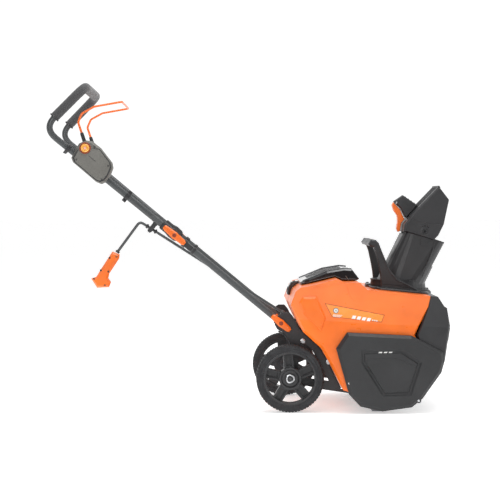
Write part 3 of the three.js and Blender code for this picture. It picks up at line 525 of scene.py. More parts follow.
def add_wheel_details(name, side):
    outer = side * (WHEEL_Y + WHEEL_W / 2)
    centre = (0, outer, WHEEL_R)
    out = Vector((0, side, 0))
    rim = Piece(f"rim_mouldings_{name}", "black_plastic", f"wheel_{name}")
    rim.turned([(80.6, -4), (80.6, -0.4), (79, 0.2), (75, 0.2), (74, -0.8), (74, -4)], centre, out, 72, True)
    rim.turned([(34, -5), (34, -2.6), (32.5, -1.4), (28, -1.4), (27, -3), (26, -5)], centre, out, 48, True)
    rim.turned([(25.8, -11), (25.8, -8.5), (24, -7.6), (17, -7.6), (16, -6), (13.6, -5.4), (13.2, -10)],
               centre, out, 48, True)
    for i in range(SPOKES):
        a = math.radians(FIRST_SPOKE_DEG - 360 / SPOKES * i)
        for edge in (-1, 1):
            nx, nz = -math.sin(a) * 11.5 * edge, math.cos(a) * 11.5 * edge
            foot = (33 * math.cos(a) + nx, 33 * math.sin(a) + nz)
            head = (76 * math.cos(a) + nx * 1.12, 76 * math.sin(a) + nz * 1.12)
            rib = strip(foot[0], WHEEL_R + foot[1], head[0], WHEEL_R + head[1], 2.6)
            rim.prism(rib, outer - side * 12, outer - side * 4.6)
        lobe = math.radians(FIRST_SPOKE_DEG - 360 / SPOKES * (i + 0.5))
        place = (29.5 * math.cos(lobe), outer - side * 1.8, WHEEL_R + 29.5 * math.sin(lobe))
        rim.screw(place, out, 2.2, 0.7)
    rim.finish(width=0.6)
    ring = Piece(f"hub_ring_{name}", "bright_steel", f"wheel_{name}")
    lobes = []
    for radius, lift in ((13, -6.2), (13, -1.8), (12, -1.0), (9.4, -1.0), (8.6, -2.6), (8.6, -6.2)):
        lobes.append([(radius * (1 + 0.07 * math.cos(3 * t)) * math.cos(t), outer + side * lift,
                       WHEEL_R + radius * (1 + 0.07 * math.cos(3 * t)) * math.sin(t))
                      for t in (2 * math.pi * k / 48 for k in range(48))])
    ring.rings(lobes, loop=True)
    ring.finish(replaces=(f"hub_cap_{name}",))
    cap = Piece(f"hub_centre_{name}", "gloss_black", f"wheel_{name}")
    cap.turned([(8.5, -6), (8.5, -3.2), (7.5, -2.6), (5.2, -2.6), (4.6, -4.4), (0.02, -4.4)],
               centre, out, 6)
    cap.finish(width=0.4)


# ---------------------------------------------------------------- housing
CHUTE_X = 351
SQUARENESS = 6.0  # how square the deck plate's rounded corners are
BODY_HALF_W = 240.0
COVER_HALF_W = 262.0
CREASE_Z = 283.8
CREASE_FALL = 0.056
CREASE_LEAN = 16 / 140


def flank(x, z, side, proud=0.0):
    """A point on the orange flank, which leans in above its crease."""
    over = max(0.0, z - CREASE_Z + CREASE_FALL * x)
    return (x, side * (BODY_HALF_W - over * CREASE_LEAN + proud), z)


def flank_plate(piece, outline, side, low, high):
    return piece.rings([[flank(x, z, side, low) for x, z in outline],
                        [flank(x, z, side, high) for x, z in outline]])


def panel_face(x):
    """Distance from the middle of the tilted panel at the rear of the flank."""
    return BODY_HALF_W - 3 + (x - 25) * 0.11


def frame_line(piece, outline, side, width, low, high):
    """A thin raised line round an outline on the flank."""
    mid_x = sum(x for x, _ in outline) / len(outline)
    mid_z = sum(z for _, z in outline) / len(outline)
    for (x0, z0), (x1, z1) in zip(outline, outline[1:] + outline[:1]):
        dx, dz = (mid_x - (x0 + x1) / 2), (mid_z - (z0 + z1) / 2)
        reach = math.hypot(dx, dz)
        shift = (dx / reach * width / 2, dz / reach * width / 2)
        line = strip(x0 + shift[0], z0 + shift[1], x1 + shift[0], z1 + shift[1], width)
        flank_plate(piece, line, side, low, high)


def add_flank_details(name, side):
    label = [(104, 331), (284, 296), (275, 274), (125, 290)]
    plate = Piece(f"flank_label_{name}", "amber_print", "chassis")
    flank_plate(plate, label, side, -1.0, 0.35)
    plate.finish(width=0.2)
    outline = Piece(f"flank_label_border_{name}", "dark_orange", "chassis")
    frame_line(outline, label, side, 1.3, -0.8, 0.6)
    outline.finish()
    marks = Piece(f"flank_label_marks_{name}", "white_print", "chassis")
    flank_plate(marks, circle(137, 309, 6.2, 32), side, 0.2, 0.75)
    for k in range(3):
        bar = strip(128, 297 - k * 2.6, 156 - k * 3, 295 - k * 2.6, 1.3)
        flank_plate(marks, bar, side, 0.2, 0.75)
    for k in range(4):
        x = 184 + k * 15
        z = 290 - k * 2.4
        slanted = [(x, z - 5), (x + 10.5, z - 6.2), (x + 14.5, z + 3.2), (x + 4, z + 4.4)]
        flank_plate(marks, slanted, side, 0.2, 0.75)
    for k in range(3):
        flank_plate(marks, strip(246 + k * 6, 280.5 - k * 1.1, 250 + k * 6, 279.8 - k * 1.1, 3.2),
                    side, 0.2, 0.75)
    marks.finish()
    icon = Piece(f"flank_label_icon_{name}", "grey_plastic", "chassis")
    flank_plate(icon, circle(137, 309, 8.4, 32), side, 0.0, 0.55)
    for k in range(3):
        a = math.radians(90 + 120 * k)
        blade = strip(137, 309, 137 + 4.4 * math.cos(a), 309 + 4.4 * math.sin(a), 1.8)
        flank_plate(icon, blade, side, 0.4, 1.05)
    icon.finish()
    # A moulded step runs down from the lid's front corner, and a rib follows the deck edge.
    ribs = Piece(f"flank_ribs_{name}", "orange_plastic", "chassis")
    flank_plate(ribs, strip(168, 389, 179, 352, 1.6), side, -1.5, 0.9)
    flank_plate(ribs, strip(179, 352, 188, 341, 1.6), side, -1.5, 0.9)
    flank_plate(ribs, strip(236, 366, 414, 347.5, 2.2), side, -1.5, 0.8)
    flank_plate(ribs, strip(60, 376, 160, 393, 2.0), side, -1.5, 0.7)
    ribs.finish(width=0.5)
    panel = Piece(f"flank_panel_rim_{name}", "orange_plastic", "chassis")
    inner = [(36, 330), (45, 343), (74, 344), (101, 287), (90, 254), (46, 297)]
    for (x0, z0), (x1, z1) in zip(inner, inner[1:] + inner[:1]):
        line = strip(x0, z0, x1, z1, 1.8)
        panel.rings([[(x, side * (panel_face(x) - 1.2), z) for x, z in line],
                     [(x, side * (panel_face(x) + 0.8), z) for x, z in line]])
    panel.finish(width=0.4)


def add_rear_details():
    """Cooling slots and a seam on the sloping rear face of the housing."""
    slats = Piece("rear_vent_slats", "dark_orange", "chassis")
    down = Vector((38 - 16, 0, 245 - 289)).normalized()
    out = Vector((-0.894, 0, -0.447))
    for k in range(7):
        z = 284 - k * 6.0
        start = Vector((18.5 + (289 - z) * 0.5, 0, z))
        for half in (-1, 1):
            a = start + Vector((0, half * 24, 0)) + out * 0.3
            b = start + Vector((0, half * 150, 0)) + out * 0.3
            across_slot = down * 1.4
            ring_a = [a + across_slot, a - across_slot, a - across_slot + out, a + across_slot + out]
            ring_b = [b + across_slot, b - across_slot, b - across_slot + out, b + across_slot + out]
            slats.rings([ring_a, ring_b])
    slats.finish(width=0.5)
    seam = Piece("housing_seam", "dark_orange", "chassis")
    line = [(-0.6, 325), (15.2, 288.6), (37.4, 244.4), (93.4, 193.4), (121.5, 143.6), (159.4, 67.6)]
    inner = [(x + 3, z + 1) for x, z in line]
    seam.prism(line + inner[::-1], -0.9, 0.9)
    seam.finish()


COVER_SCREWS = ((348, 220), (442, 141), (385, 39), (300, 31), (186, 226), (176, 92))


def add_cover_details(name, side):
    face = side * COVER_HALF_W
    out = Vector((0, side, 0))
    cups = Piece(f"cover_screw_cups_{name}", "black_plastic", "chassis")
    screws = Piece(f"cover_screws_{name}", "bright_steel", "chassis")
    for x, z in COVER_SCREWS:
        cups.turned([(7.2, -1.5), (7.2, -0.2), (6.6, 0.0), (5.4, 0.0), (4.9, -1.0), (0.02, -1.0)],
                    (x, face - side * 0.1, z), out, 28)
        screws.screw((x, face - side * 1.2, z), out, 3.6, 1.0)
    cups.finish()
    screws.finish()
    motif = Piece(f"cover_motif_{name}", "white_print", "chassis")
    for k in range(3):
        x = 262 + k * 15
        motif.prism([(x, 179), (x + 9.5, 179), (x + 13.5, 186.5), (x + 4, 186.5)],
                    face - side * 4.6, face - side * 3.9)
    motif.finish()
    # Raised lines around the recess and around the plateau inside it.
    lines = Piece(f"cover_lines_{name}", "dark_plastic", "chassis")
    recess = [(203, 199), (341, 201), (404, 158), (368, 45), (273, 42), (202, 152)]
    for (x0, z0), (x1, z1) in zip(recess, recess[1:] + recess[:1]):
        lines.prism(strip(x0, z0, x1, z1, 2.2), face - side * 1.2, face - side * 0.15)
    plateau = [(231, 165), (320, 166), (378, 140), (352, 68), (283, 66), (231, 140)]
    for (x0, z0), (x1, z1) in zip(plateau, plateau[1:] + plateau[:1]):
        lines.prism(strip(x0, z0, x1, z1, 1.6), face - side * 2.0, face - side * 0.35)
    lines.finish(width=0.5)


def add_scoop_details():
    lips = Piece("scoop_front_lip", "dark_plastic", "chassis")
    for z, x in ((318.5, 466.5), (262, 482.2), (253, 482.4)):
        lips.prism(circle(x, z, 1.6, 10), -228, 228)
    lips.finish()
    bolts = Piece("scraper_bolts", "bright_steel", "chassis")
    for k in range(6):
        y = -180 + 72 * k
        bolts.turned([(5.2, -1.5), (5.2, 0.6), (3.6, 2.0), (0.02, 2.2)], (283, y, 3.2), ALONG_Z, 20)
    bolts.finish()
    teeth = Piece("auger_mouth_ribs", "dark_plastic", "chassis")
    for k in range(7):
        y = -170 + 57 * k
        teeth.prism([(404, 229.6), (404, 236), (466, 240), (468, 234), (462, 226)], y - 1.4, y + 1.4)
    teeth.finish(width=0.5)


def deck_z(x):
    """Height of the sloping deck in front of the lid."""
    return 371 - (x - 233) * 0.1


def add_deck_plate():
    """The plate round the chute: a rounded rectangle with a round hole, lying on the sloping deck."""
    steps = 72
    rings = []
    for lift, inset_by, hole in ((0.6, 0, 100), (4.6, 0, 100), (6.2, 2.2, 101.2)):
        outer = []
        inner = []
        for i in range(steps):
            a = 2 * math.pi * i / steps
            c, s = math.cos(a), math.sin(a)
            along_x = abs(c / (86 if c > 0 else 96)) ** SQUARENESS
            along_y = abs(s / 150) ** SQUARENESS
            reach = (along_x + along_y) ** (-1 / SQUARENESS) - inset_by
            for radius, ring in ((max(reach, 103), outer), (hole, inner)):
                x = CHUTE_X + radius * c
                ring.append((x, radius * s, deck_z(x) + lift))
        rings.append((outer, inner))
    plate = Piece("deck_plate", "black_plastic", "chassis")
    ordered = [rings[0][1], rings[0][0], rings[1][0], rings[2][0], rings[2][1], rings[1][1]]
    plate.rings(ordered, loop=True)
    plate.finish(angle=30)
    bolts = Piece("deck_bolts", "black_plastic", "chassis")
    for _, side in SIDES:
        for x in (268, 302, 378, 404):
            bolts.screw((x, side * 131, deck_z(x) + 6.2), ALONG_Z, 4.6, 2.4)
        for x in (350, 366):
            bolts.screw((x, side * 123.6, 378), (0, side, 0), 4.4, 3.0)
    bolts.finish()


# ---------------------------------------------------------------- lid, battery, electronics
def add_lid_details():
    trim = Piece("lid_trim", "gloss_black", "lid")
    for _, side in SIDES:
        top = [(44, side * 104, 391.4), (118, side * 104, 421.8), (171, side * 104, 430.6),
               (195, side * 104, 428.6)]
        trim.tube(top, 2.4, 12)
        edge = [(40, side * 117.4, 385.5), (68, side * 118.2, 390), (143, side * 118.2, 408),
                (165, side * 118.2, 398), (208, side * 118.2, 397)]
        trim.tube(edge, 1.5, 10)
        trim.prism([(47, 384), (66, 387), (62, 398), (52, 394)], side * 116.8, side * 119.4)
    for k in range(5):
        y = -48 + 24 * k
        trim.tube([(60, y, 397.2), (116, y, 420.4), (166, y, 429.2)], 1.7, 10)
    trim.finish()
    # Painted highlight: a thin light grey strip on each side of the lid stands in for the light caught by
    # the lid's front edge.
    highlight_strip = Piece("lid_highlight_strip", "grey_plastic", "lid")
    for _, side in SIDES:
        line = strip(176, 408, 186, 394, 1.6)
        highlight_strip.prism(line, side * 117.4, side * 118.6)
    highlight_strip.finish()
    grip = Piece("latch_ribs", "gloss_black", "latch")
    for k in range(5):
        y = -20 + 10 * k
        grip.tube([(0.6, y, 350), (2.6, y, 366), (12.4, y, 382.6), (26, y, 386.4)], 1.3, 8)
    grip.finish()


MOTOR = (146, 240)


def add_battery_details():
    ribs = Piece("battery_ribs", "black_plastic", "chassis")
    for k in range(8):
        x = 74 + k * 14.5
        for _, side in SIDES:
            ribs.prism([(x, 318), (x + 5, 318), (x + 5, 366), (x, 366)], side * 44.4, side * 45.9)
    ribs.prism([(101, 389.6), (149, 389.6), (146, 391.4), (104, 391.4)], -11, 11)
    ribs.finish(width=0.5)
    gauge = Piece("battery_gauge", "white_print", "chassis")
    for k in range(4):
        gauge.turned([(1.6, 0), (1.6, 0.5), (0.9, 0.8), (0.02, 0.8)],
                     (170, -12 + 8 * k, 383.9), ALONG_Z, 14)
    gauge.finish()
    motor_x, motor_z = MOTOR
    fins = Piece("motor_fins", "cast_metal", "chassis")
    for k in range(9):
        y = -182 + 12 * k
        fins.turned([(41, -1.2), (44, -0.9), (44, 0.9), (41, 1.2)], (motor_x, y, motor_z),
                    ALONG_Y, 48, True)
    fins.turned([(30, 0), (30, 3), (26, 5), (12, 5), (10, 2), (0.02, 2)], (motor_x, -80, motor_z),
                ALONG_Y, 40)
    fins.finish()
    bolts = Piece("motor_bolts", "bright_steel", "chassis")
    for k in range(6):
        a = math.pi / 3 * k
        place = (motor_x + 35 * math.cos(a), -80, motor_z + 35 * math.sin(a))
        bolts.screw(place, ALONG_Y, 3.2, 2.4)
    bolts.finish()
    board = Piece("controller_ribs", "dark_plastic", "chassis")
    for k in range(7):
        y = 92 + 16 * k
        board.prism([(66, 329), (72, 329.4), (136, 314), (139, 311), (130, 312), (70, 326)],
                    y - 1.2, y + 1.2)
    board.finish()


# ---------------------------------------------------------------- auger and drive
AUGER = (300.0, 122.0)
BELT_Y = -221


def add_auger_details():
    cx, cz = AUGER
    rotor = Piece("rotor_ribs", "cast_metal", "auger")
    for k in range(9):
        y = -188 + 51 * k
        for flip in (-1, 1):
            web = [(cx + flip * 14, cz + flip * 12), (cx + flip * 14, cz + flip * 2),
                   (cx + flip * 78, cz + flip * 2)]
            rotor.prism(web, y - 2, y + 2)
            rotor.prism([(x, 2 * cz - z) for x, z in web], y - 2, y + 2)
        rotor.turned([(14.8, -3), (17, -2.4), (17, 2.4), (14.8, 3)], (cx, y, cz), ALONG_Y, 32, True)
    rotor.finish(width=0.6)
    clamps = Piece("paddle_clamps", "bright_steel", "auger")
    bolts = Piece("paddle_bolts", "bright_steel", "auger")
    for flip in (-1, 1):
        top = cz + flip * 9.0
        clamps.prism([(cx + flip * 58, top), (cx + flip * 78, top), (cx + flip * 76, top + flip * 2.2),
                      (cx + flip * 60, top + flip * 2.2)], -196, 222)
        for k in range(8):
            y = -180 + 56 * k
            bolts.hexagon((cx + flip * 68, y, top + flip * 2.0), (0, 0, flip), 5.2, 3.6)
    clamps.finish(width=0.5)
    bolts.finish(width=0.3)
    ribs = Piece("paddle_ridges", "paddle_rubber", "auger")
    for flip in (-1, 1):
        for share, rise in ((0.72, 12.8), (0.88, 21.5)):
            x = cx + flip * (56 + 50 * share)
            ribs.prism(circle(x, cz + flip * (8.4 + rise), 1.6, 10), -194, 222)
    ribs.finish()
    wheel = Piece("pulley_grooves", "cast_metal", "auger")
    for k in range(4):
        y = BELT_Y - 4.5 + 3 * k
        wheel.turned([(51.6, -1.0), (52.5, 0), (51.6, 1.0)], (cx, y, cz), ALONG_Y, 64, True)
    wheel.turned([(50.5, 7.1), (50.5, 8.6), (44, 8.6), (43, 7.1)], (cx, BELT_Y, cz), ALONG_Y, 64, True)
    wheel.finish()


# ---------------------------------------------------------------- rear frame
BRACKET_FACE = 177
FRAME_BOLTS = ((40.5, 212), (119, 148))


def add_frame_details(name, side):
    face = side * BRACKET_FACE
    out = Vector((0, side, 0))
    bolts = Piece(f"frame_bolts_{name}", "bright_steel", "chassis")
    for x, z in FRAME_BOLTS:
        bolts.turned([(7.5, -0.5), (7.5, 1.2), (6.9, 1.5), (0.02, 1.5)], (x, face, z), out, 28)
        bolts.hexagon((x, face + side * 1.2, z), out, 6.2, 4.6)
    bolts.turned([(10.5, -0.5), (10.5, 1.4), (9.8, 1.8), (0.02, 1.8)], (0, face, WHEEL_R), out, 32)
    bolts.finish(width=0.3)
    rib = Piece(f"frame_flange_{name}", "frame_paint", "chassis")
    edge = [(-34, 243), (-14, 231), (8, 197), (12.5, 150), (-10, 117), (-10, 92), (12, 87),
            (107, 66), (176, 55.5)]
    rib.tube([(x, side * 175, z) for x, z in edge], 2.6, 12)
    rib.finish()
    gasket = Piece(f"frame_gasket_{name}", "paddle_rubber", "chassis")
    body_edge = [(36.5, 246.2), (92.4, 195.2), (120.6, 144.6), (158.6, 68.4)]
    frame_edge = [(154.6, 65.4), (116.6, 141.4), (88.8, 190.2), (32.6, 241.2)]
    gasket.prism(body_edge + frame_edge, side * 166, side * 176)
    gasket.finish(width=0.6)
    boss = Piece(f"frame_boss_{name}", "frame_paint", "chassis")
    boss.turned([(19, -3), (19, 1.5), (17.5, 3), (12.6, 3), (12, 1), (12, -3)], (0, face, WHEEL_R),
                out, 40, True)
    boss.finish()


# ---------------------------------------------------------------- chute and deflector
HOOD_PIVOT = (426, 544)
HOOD_FACE = 76.0


def add_chute_details():
    chute = Piece("chute_mouldings", "black_plastic", "chute")
    for _, side in SIDES:
        lean_to = [(459, side * 69.2, 514), (452, side * 70.4, 486), (434, side * 72.3, 440),
                   (419, side * 74.0, 402)]
        chute.tube(lean_to, 1.7, 10)
        chute.tube([(372, side * 68.2, 549), (428, side * 68.6, 529), (488, side * 66, 508.5)], 1.6, 10)
    for k in range(24):
        a = math.pi / 12 * k
        chute.turned([(2.0, 2.5), (2.0, 5.2), (1.2, 5.8), (0.02, 5.8)],
                     (CHUTE_X + 93.4 * math.cos(a), 93.4 * math.sin(a), 359.4), ALONG_Z, 12)
    chute.turned([(84.6, 34.6), (87.4, 35.4), (87.4, 37.4), (85, 38.2), (82, 37)],
                 (CHUTE_X, 0, 356), ALONG_Z, 72, True)
    chute.finish()
    rivets = Piece("chute_pivot_nuts", "gloss_black", "chute")
    for _, side in SIDES:
        rivets.hexagon((HOOD_PIVOT[0], side * 79, HOOD_PIVOT[1]), (0, side, 0), 6.0, 3.2)
    rivets.finish(width=0.3)


def add_deflector_details():
    px, pz = HOOD_PIVOT
    face = HOOD_FACE
    panel = Piece("deflector_mouldings", "black_plastic", "hood")
    for _, side in SIDES:
        groove = [(377, 590), (398, 577), (436, 570), (482, 566)]
        panel.tube([(x, side * (face - 0.3), z) for x, z in groove], 1.1, 8)
        rim = [(470, 680), (500, 642), (484, 567), (466, 530)]
        panel.tube([(x, side * (face - 1.2), z) for x, z in rim], 1.8, 10)
        panel.turned([(13, -1), (13, 0.7), (11.6, 1.4), (9.2, 1.4), (8.6, -1)], (px, side * face, pz),
                     Vector((0, side, 0)), 36, True)
        arc = [(px + 21 * math.cos(math.radians(a)), side * (face + 0.1),
                pz + 21 * math.sin(math.radians(a))) for a in range(35, 126, 9)]
        panel.tube(arc, 1.3, 8)
    for k in range(5):
        y = -44 + 22 * k
        panel.tube([(409, y, 621), (440, y, 652.5), (468, y, 681.5)], 1.7, 10)
    panel.tube([(471, -70, 684.5), (471, 70, 684.5)], 2.2, 10)
    panel.finish()
    marks = Piece("deflector_arc_marks", "gloss_black", "hood")
    for _, side in SIDES:
        for k in range(5):
            a = math.radians(48 + 16 * k)
            inner = (px + 15 * math.cos(a), pz + 15 * math.sin(a))
            outer = (px + 19 * math.cos(a), pz + 19 * math.sin(a))
            marks.prism(strip(*inner, *outer, 1.8), side * (face - 0.5), side * (face + 0.5))
    marks.finish()
    grip = Piece("deflector_handle_ribs", "black_plastic", "hood")
    for k in range(4):
        t = 0.18 + 0.2 * k
        x, z = 365 + 46 * t, 657 - 31.4 * t
        grip.tube([(x, -18, z), (x, 18, z)], 1.3, 8)
    grip.finish()
    ridge = Piece("trigger_ribs", "orange_plastic", "hood_trigger")
    for k in range(5):
        z = 556 + 8.5 * k
        x = 346.4 + 3.0 * math.sin(math.pi * k / 5)
        ridge.tube([(x, -12.5, z), (x, 12.5, z)], 1.2, 8)
    ridge.finish()
    pin = Piece("trigger_pin", "bright_steel", "hood")
    for _, side in SIDES:
        pin.screw((344, side * 19.6, 633), (0, side, 0), 3.0, 1.6)
    pin.finish()


LIFT_FACE = 124


def add_lift_handle_details():
    grip = Piece("lift_handle_grip", "dark_plastic", "chassis")
    outline = [(247.5, 507), (251.5, 501.5), (262, 497.4), (272, 501.4), (276.6, 509),
               (268.4, 517.8), (255.4, 518.8)]
    mid_x, mid_z = 262, 508.5
    wide = [(mid_x + (x - mid_x) * 1.12, mid_z + (z - mid_z) * 1.12) for x, z in outline]
    for k in range(8):
        y = -91 + 26 * k
        grip.prism(wide, y - 4, y + 4)
    grip.finish(width=1.6)
    ribs = Piece("lift_handle_ribs", "black_plastic", "chassis")
    for _, side in SIDES:
        face = side * LIFT_FACE
        near = face - side * 0.6
        ridge = [(274, 506), (283, 488), (295, 460), (311, 425), (335, 396), (364, 382.5), (392, 368)]
        ribs.tube([(x - 1.5, face - side * 0.4, z - 1.5) for x, z in ridge], 1.8, 10)
        inner = [(263, 500), (272, 478), (279.5, 445), (286, 412), (288, 380)]
        ribs.tube([(x, face - side * 0.4, z) for x, z in inner], 1.6, 10)
        ribs.prism([(262, 499), (274, 503), (277, 509), (262, 518), (256, 517), (250, 506)],
                   face - side * 1, face + side * 0.8, 0.18)
        ribs.tube([(288, near, 384), (330, near, 380), (394, near, 366)], 1.4, 8)
    ribs.finish()


# ---------------------------------------------------------------- handle
FOLD_LOW = (-26.0, 267.0)
FOLD_MID = (-350.0, 535.0)
TUBE_Y = 160.0
TUBE_R = 9.5
HANDLE_DX, HANDLE_DZ = -0.7705, 0.6373
LOOP_CORNER = (-738.0, 238.0, 856.0)
LOOP_TOP = (-616.0, 225.0, 980.0)
LOOP_BEND = 44.0
FOAM_R = 14.5


def along(pivot, distance, y, off=0.0):
    """A point up the handle tube from a pivot; off moves it square to the tube, downwards."""
    return (pivot[0] + HANDLE_DX * distance - HANDLE_DZ * off, y,
            pivot[1] + HANDLE_DZ * distance + HANDLE_DX * off)


def other_side(point):
    return (point[0], -point[1], point[2])


def riser(t):
    return tuple(a + (b - a) * t for a, b in zip(LOOP_CORNER, LOOP_TOP))


def add_tubes():
    for name, side in SIDES:
        lower = Piece(f"smooth_lower_tube_{name}", "tube_paint", "lower_handle")
        ends = [along(FOLD_LOW, d, side * TUBE_Y) for d in (-13, -9, 0, 40, 380, along_length() + 12)]
        lower.tube(ends, [8.8, 9.5, 9.5, 9.5, 9.5, 9.5], 32)
        lower.finish(replaces=(f"lower_tube_{name}",))
    start = along(FOLD_MID, 26, -TUBE_Y)
    straight = along(FOLD_MID, 90, -TUBE_Y)
    near = [start, straight, other_side(LOOP_CORNER), other_side(LOOP_TOP)]
    far = [LOOP_TOP, LOOP_CORNER, other_side(straight), other_side(start)]
    loop = Piece("smooth_upper_handle", "tube_paint", "upper_handle")
    loop.tube(rounded(near + far, LOOP_BEND, 14), TUBE_R, 32)
    loop.finish(replaces=("upper_handle",))


def along_length():
    return math.hypot(FOLD_MID[0] - FOLD_LOW[0], FOLD_MID[1] - FOLD_LOW[1])


def add_grip_sleeve():
    begin = riser(0.27)
    path = rounded([other_side(begin), other_side(LOOP_TOP), LOOP_TOP, begin], LOOP_BEND, 16)
    full = []
    for a, b in zip(path, path[1:]):
        pieces = max(1, int((b - a).length / 5))
        full += [a.lerp(b, k / pieces) for k in range(pieces)]
    full.append(path[-1])
    radii = [FOAM_R + 0.12 * math.sin(i * 1.9) for i in range(len(full))]
    for end in (0, -1):
        radii[end] = FOAM_R - 1.2
    sleeve = Piece("smooth_grip_sleeve", "foam_grip", "upper_handle")
    sleeve.tube(full, radii, 40)
    sleeve.finish(replaces=("grip_sleeve",))
    rings = Piece("grip_end_rings", "black_plastic", "upper_handle")
    for mirror in (False, True):
        place = riser(0.262)
        axis = Vector(LOOP_TOP) - Vector(LOOP_CORNER)
        if mirror:
            place = other_side(place)
            axis = Vector(other_side(axis))
        rings.turned([(9.6, -2.2), (15.6, -2.2), (16.4, -1.2), (16.4, 1.2), (15.2, 2.6), (9.6, 2.6)],
                     place, axis.normalized(), 40, True)
    rings.finish()


def clip_ring(piece, place, axis, inner, outer, width):
    piece.turned([(inner, -width), (outer - 0.8, -width), (outer, -width + 0.8), (outer, width - 0.8),
                  (outer - 0.8, width), (inner, width)], place, axis.normalized(), 36, True)


def loop_direction():
    start = Vector(along(FOLD_MID, 90, -TUBE_Y))
    return start, Vector(other_side(LOOP_CORNER)) - start


BUTTON = (-615.0, 797.0)
BUTTON_RECESS = 15.6
BOX_FACE = 233.0
SWITCH_BOX = [(-646, 789), (-634, 811), (-613, 820.5), (-595, 818), (-570, 798), (-536, 754), (-533, 738),
              (-542, 714), (-556, 695), (-569, 690), (-583, 696), (-652, 755), (-657, 768)]


def shrink(outline, share):
    mid_x = sum(x for x, _ in outline) / len(outline)
    mid_z = sum(z for _, z in outline) / len(outline)
    return [(mid_x + (x - mid_x) * share, mid_z + (z - mid_z) * share) for x, z in outline]


def below_button(outline):
    """The box outline with its three top corners replaced by an arc that the button sinks beside."""
    arc = [(BUTTON[0] + BUTTON_RECESS * math.cos(math.radians(a)),
            BUTTON[1] + BUTTON_RECESS * math.sin(math.radians(a))) for a in range(180, 361, 12)]
    return outline[:1] + arc + outline[4:]


def add_switch_box_details():
    clips = Piece("tube_clips", "black_plastic", "upper_handle")
    start, run = loop_direction()
    for share in (0.775, 0.435):
        clip_ring(clips, start + run * share, run, 9.7, 13.6, 5)
        tab = start + run * share
        clips.prism([(tab.x - 16, tab.z - 13), (tab.x - 8, tab.z - 17), (tab.x, tab.z - 10),
                     (tab.x - 8, tab.z - 4)], tab.y - 8, tab.y + 8)
    clip_ring(clips, start + run * 0.23, run, 9.7, 12.8, 6)
    knob = start + run * 0.23
    for reach in (-1, 1):
        end = knob + Vector((0.62, 0, 0.78)) * (15 * reach)
        clips.turned([(5, -6), (5, 6)], end, run.normalized(), 20)
    clips.finish(width=0.8)
    face = Piece("switch_box_face", "grey_plastic", "upper_handle")
    outline = below_button(shrink(SWITCH_BOX, 0.86))
    face.rings([[(x, -BOX_FACE + 2, z) for x, z in outline],
                [(x, -BOX_FACE - 0.8, z) for x, z in outline],
                [(x, -BOX_FACE - 1.4, z) for x, z in shrink(outline, 0.975)]])
    face.finish(width=0.5)
    seam = Piece("switch_box_seam", "dark_plastic", "upper_handle")
    rim = shrink(SWITCH_BOX, 1.008)
    seam.prism(rim, -207.2, -204.8)
    ledge = below_button(shrink(SWITCH_BOX, 0.93))
    seam.prism(ledge, -BOX_FACE + 3, -BOX_FACE - 0.25)
    seam.finish(width=0.5)
    screws = Piece("switch_box_screws", "black_plastic", "upper_handle")
    for x, z in ((-641, 763), (-566, 704), (-546, 744), (-587, 800)):
        screws.screw((x, -BOX_FACE - 1.0, z), (0, -1, 0), 3.0, 0.8)
    screws.finish()
    mark = Piece("switch_box_mark", "dark_plastic", "upper_handle")
    for k in range(3):
        x, z = -604 + 7 * k, 774 - 6 * k
        mark.prism(strip(x, z, x + 6, z - 5, 1.6), -BOX_FACE - 1.2, -BOX_FACE - 1.75)
    mark.finish()


def add_button():
    bx, bz = BUTTON
    out = Vector((0, -1, 0))
    ring = Piece("button_ring", "dark_orange", "upper_handle")
    ring.turned([(13.8, -3), (13.8, 4.2), (14.6, 5.0), (16.4, 5.0), (17.4, 3.4), (17.4, -3)],
                (bx, -BOX_FACE + 1, bz), out, 48, True)
    ring.finish()
    cap = Piece("button_cap", "button_amber", "button")
    cap.turned([(12.6, 0), (12.6, 5.2), (11.8, 6.2), (9.4, 6.2), (8.6, 5.6), (5, 5.0), (0.02, 4.8)],
               (bx, -BOX_FACE, bz), out, 48)
    cap.finish()
    # Painted highlight: the small white dot in the middle of the button cap stands in for the light caught
    # by the cap.
    dot = Piece("button_highlight_dot", "white_print", "button")
    dot.turned([(3.4, 0), (3.4, 0.35), (2.6, 0.5), (2.2, 0.3), (2.2, 0)],
               (bx, -BOX_FACE - 5.1, bz), out, 28, True)
    dot.finish()


BAIL_HALF = 168.0
BAIL_PIVOT_Z = 797
BAIL_R = 3.2
BAIL_BASE_SWELL = 0.9  # the dipped coat is thicker just above each pivot


def add_bail():
    near = [(-615, 186, 797), (-615, BAIL_HALF, 797), (-629, BAIL_HALF, 840), (-641, BAIL_HALF + 2, 877),
            (-630, BAIL_HALF + 5, 903), (-592, BAIL_HALF + 7, 924), (-508, BAIL_HALF + 8, 939)]
    corners = [other_side(p) for p in near] + near[::-1]
    wire = Piece("smooth_bail", "orange_wire", "bail")
    path = rounded(corners, 13, 8)
    radii = []
    for point in path:
        rise = point.z - BAIL_PIVOT_Z
        radii.append(BAIL_R + (BAIL_BASE_SWELL * max(0.0, 1 - rise / 110) if rise > 3 else 0.0))
    wire.tube(path, radii, 20)
    wire.finish(replaces=("bail",))
    sleeves = Piece("bail_sleeves", "dark_plastic", "bail")
    for _, side in SIDES:
        y = side * BAIL_HALF
        low = Vector((-619, y, 809))
        high = Vector((-631, y, 846))
        axis = (high - low).normalized()
        sleeves.turned([(4.0, 0), (5.6, 0), (6.0, 1.5), (5.6, 34), (5.0, 38.5), (4.0, 38.9)],
                       low, axis, 28, True)
    sleeves.finish()


